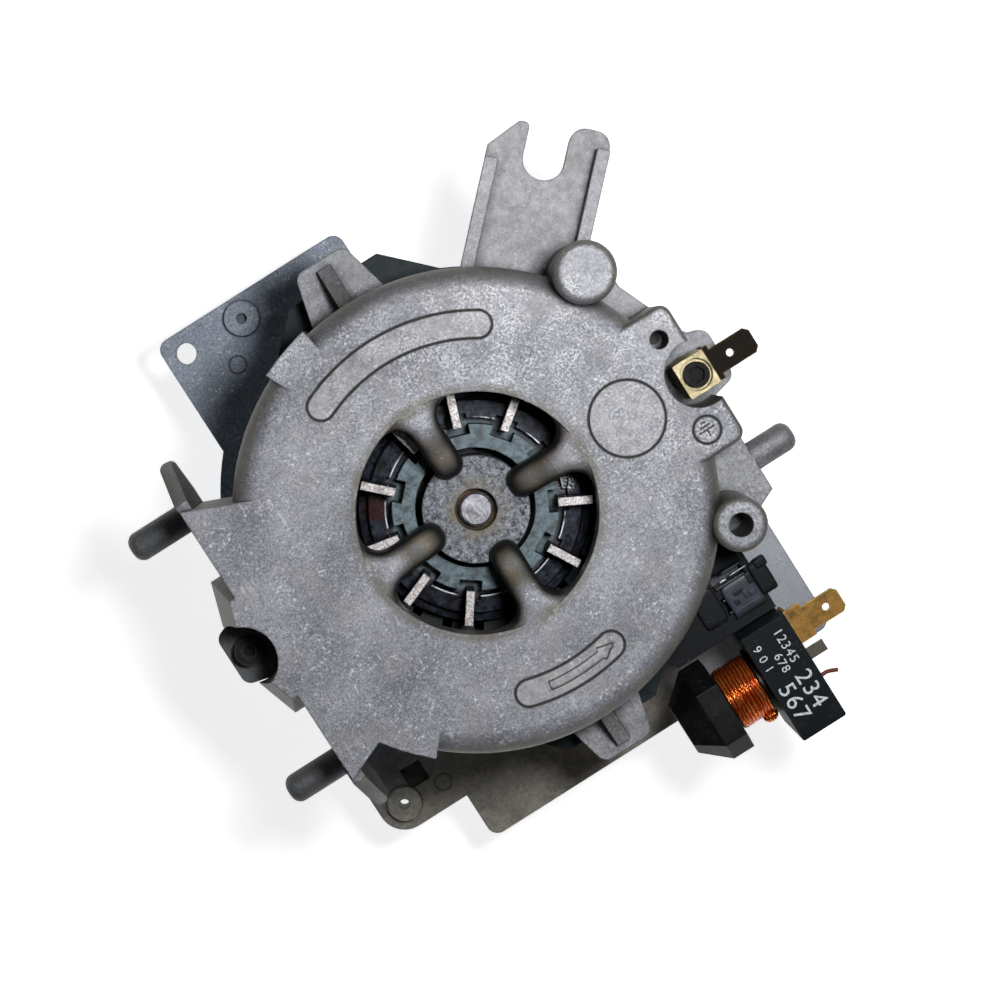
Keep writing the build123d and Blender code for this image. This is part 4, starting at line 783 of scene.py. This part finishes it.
# Ribs, pads and contact strips on the terminal carrier: centre, half size, slot and material
slate = moulded("carrier_slate", srgb(30, 38, 50), 0.34, srgb(62, 76, 96), 0.3)
for index, (centre, half, slot_name, material) in enumerate((
    ((41.9, -51.9, 50.2), (4.1, 4.1, 0.75), "carrier_black", slate),
    # These three thin black pads stand for the shade inside the carrier's notches and slot: painted
    # shade
    ((41.2, -50.6, 50.95), (1.2, 0.6, 0.12), "carrier_black", finishes["bobbin_black"]),
    ((39.9, -52.6, 50.95), (0.7, 0.7, 0.12), "carrier_black", finishes["bobbin_black"]),
    ((45.2, -49.2, 50.95), (0.7, 1.3, 0.12), "carrier_black", finishes["bobbin_black"]),
    ((42.6, -51.9, 51.0), (0.5, 1.0, 0.3), "carrier_black", slate),
    ((44.2, -52.4, 51.0), (0.8, 0.7, 0.4), "carrier_black", slate),
    ((41.9, -54.4, 51.0), (4.0, 0.3, 0.35), "carrier_black", slate),
    ((41.9, -55.7, 50.9), (4.2, 0.4, 0.3), "carrier_black", finishes["carrier_black"]),
    ((43.8, -46.3, 50.5), (2.4, 0.2, 0.5), "clip_brass", finishes["spring_steel"]),
    ((39.6, -46.6, 50.4), (1.0, 0.25, 0.4), "clip_brass", finishes["spring_steel"]),
    ((41.8, -42.2, 50.4), (4.2, 2.3, 1.2), "carrier_black", finishes["carrier_black"]),
    ((42.6, -44.9, 50.2), (2.6, 0.35, 0.9), "carrier_black", slate),
    ((48.2, -50.8, 48.4), (2.2, 4.2, 1.5), "carrier_black", finishes["carrier_black"]),
    ((49.4, -47.6, 48.7), (1.6, 1.2, 1.5), "carrier_black", finishes["carrier_black"]),
    ((33.4, -50.6, 49.7), (3.0, 4.6, 0.8), "carrier_black", finishes["carrier_black"]),
)):
    rounded_block("carrier_rib_" + str(index), centre, half, slot_name, material)

# Pale floor that shows nearly white to the camera and in gloss and glass
floor_finish = Finish("floor_paper", Roughness=0.9)
floor_finish.shader.inputs["Base Color"].default_value = (0.9, 0.9, 0.9, 1.0)
seen = floor_finish.add("ShaderNodeLightPath")
floor_finish.shader.inputs["Emission Color"].default_value = (1.0, 1.0, 1.0, 1.0)
shown = seen.outputs["Is Camera Ray"]
for ray in ("Is Glossy Ray", "Is Transmission Ray"):
    shown = floor_finish.math("MAXIMUM", shown, seen.outputs[ray])
strength = floor_finish.math("MULTIPLY", shown, FLOOR_SHOWN)
floor_finish.tree.links.new(strength, floor_finish.shader.inputs["Emission Strength"])
floor_mesh = bpy.data.meshes.new("floor")
corners = [
    (-FLOOR_HALF, -FLOOR_HALF, FLOOR_LEVEL),
    (FLOOR_HALF, -FLOOR_HALF, FLOOR_LEVEL),
    (FLOOR_HALF, FLOOR_HALF, FLOOR_LEVEL),
    (-FLOOR_HALF, FLOOR_HALF, FLOOR_LEVEL),
]
floor_mesh.from_pydata(corners, [], [(0, 1, 2, 3)])
floor_mesh.materials.append(floor_finish.material)
floor = bpy.data.objects.new("floor", floor_mesh)
scene.collection.objects.link(floor)


def lamp(name, photo_angle, height_angle, distance, width, power):
    """A square soft lamp aimed at the motor's middle. photo_angle is counter-clockwise from the
    photo's right, height_angle is up from the floor; distance and width are in metres."""
    turn = math.radians(photo_angle - PHOTO_TURN)
    rise = math.radians(height_angle)
    aim = Vector((math.cos(turn) * math.cos(rise), math.sin(turn) * math.cos(rise), math.sin(rise)))
    data = bpy.data.lights.new(name, "AREA")
    data.size = width
    data.energy = power
    made = bpy.data.objects.new(name, data)
    scene.collection.objects.link(made)
    made.location = aim * distance + MOTOR_MIDDLE
    made.rotation_euler = aim.to_track_quat("Z", "Y").to_euler()
    made.visible_camera = False


# One small key lamp nearly overhead and three wide low ones, in a dim pale room
lamp("key", 50.0, 76.0, 0.35, 0.06, 1.12)
for index, angle in enumerate((60.0, 180.0, 300.0)):
    lamp("side_" + str(index), angle, 8.0, 1.2, 0.9, 1.7)
world = bpy.data.worlds.new("room")
scene.world = world
world.use_nodes = True
world.node_tree.nodes["Background"].inputs[0].default_value = (0.9, 0.92, 0.95, 1.0)
world.node_tree.nodes["Background"].inputs[1].default_value = 0.05
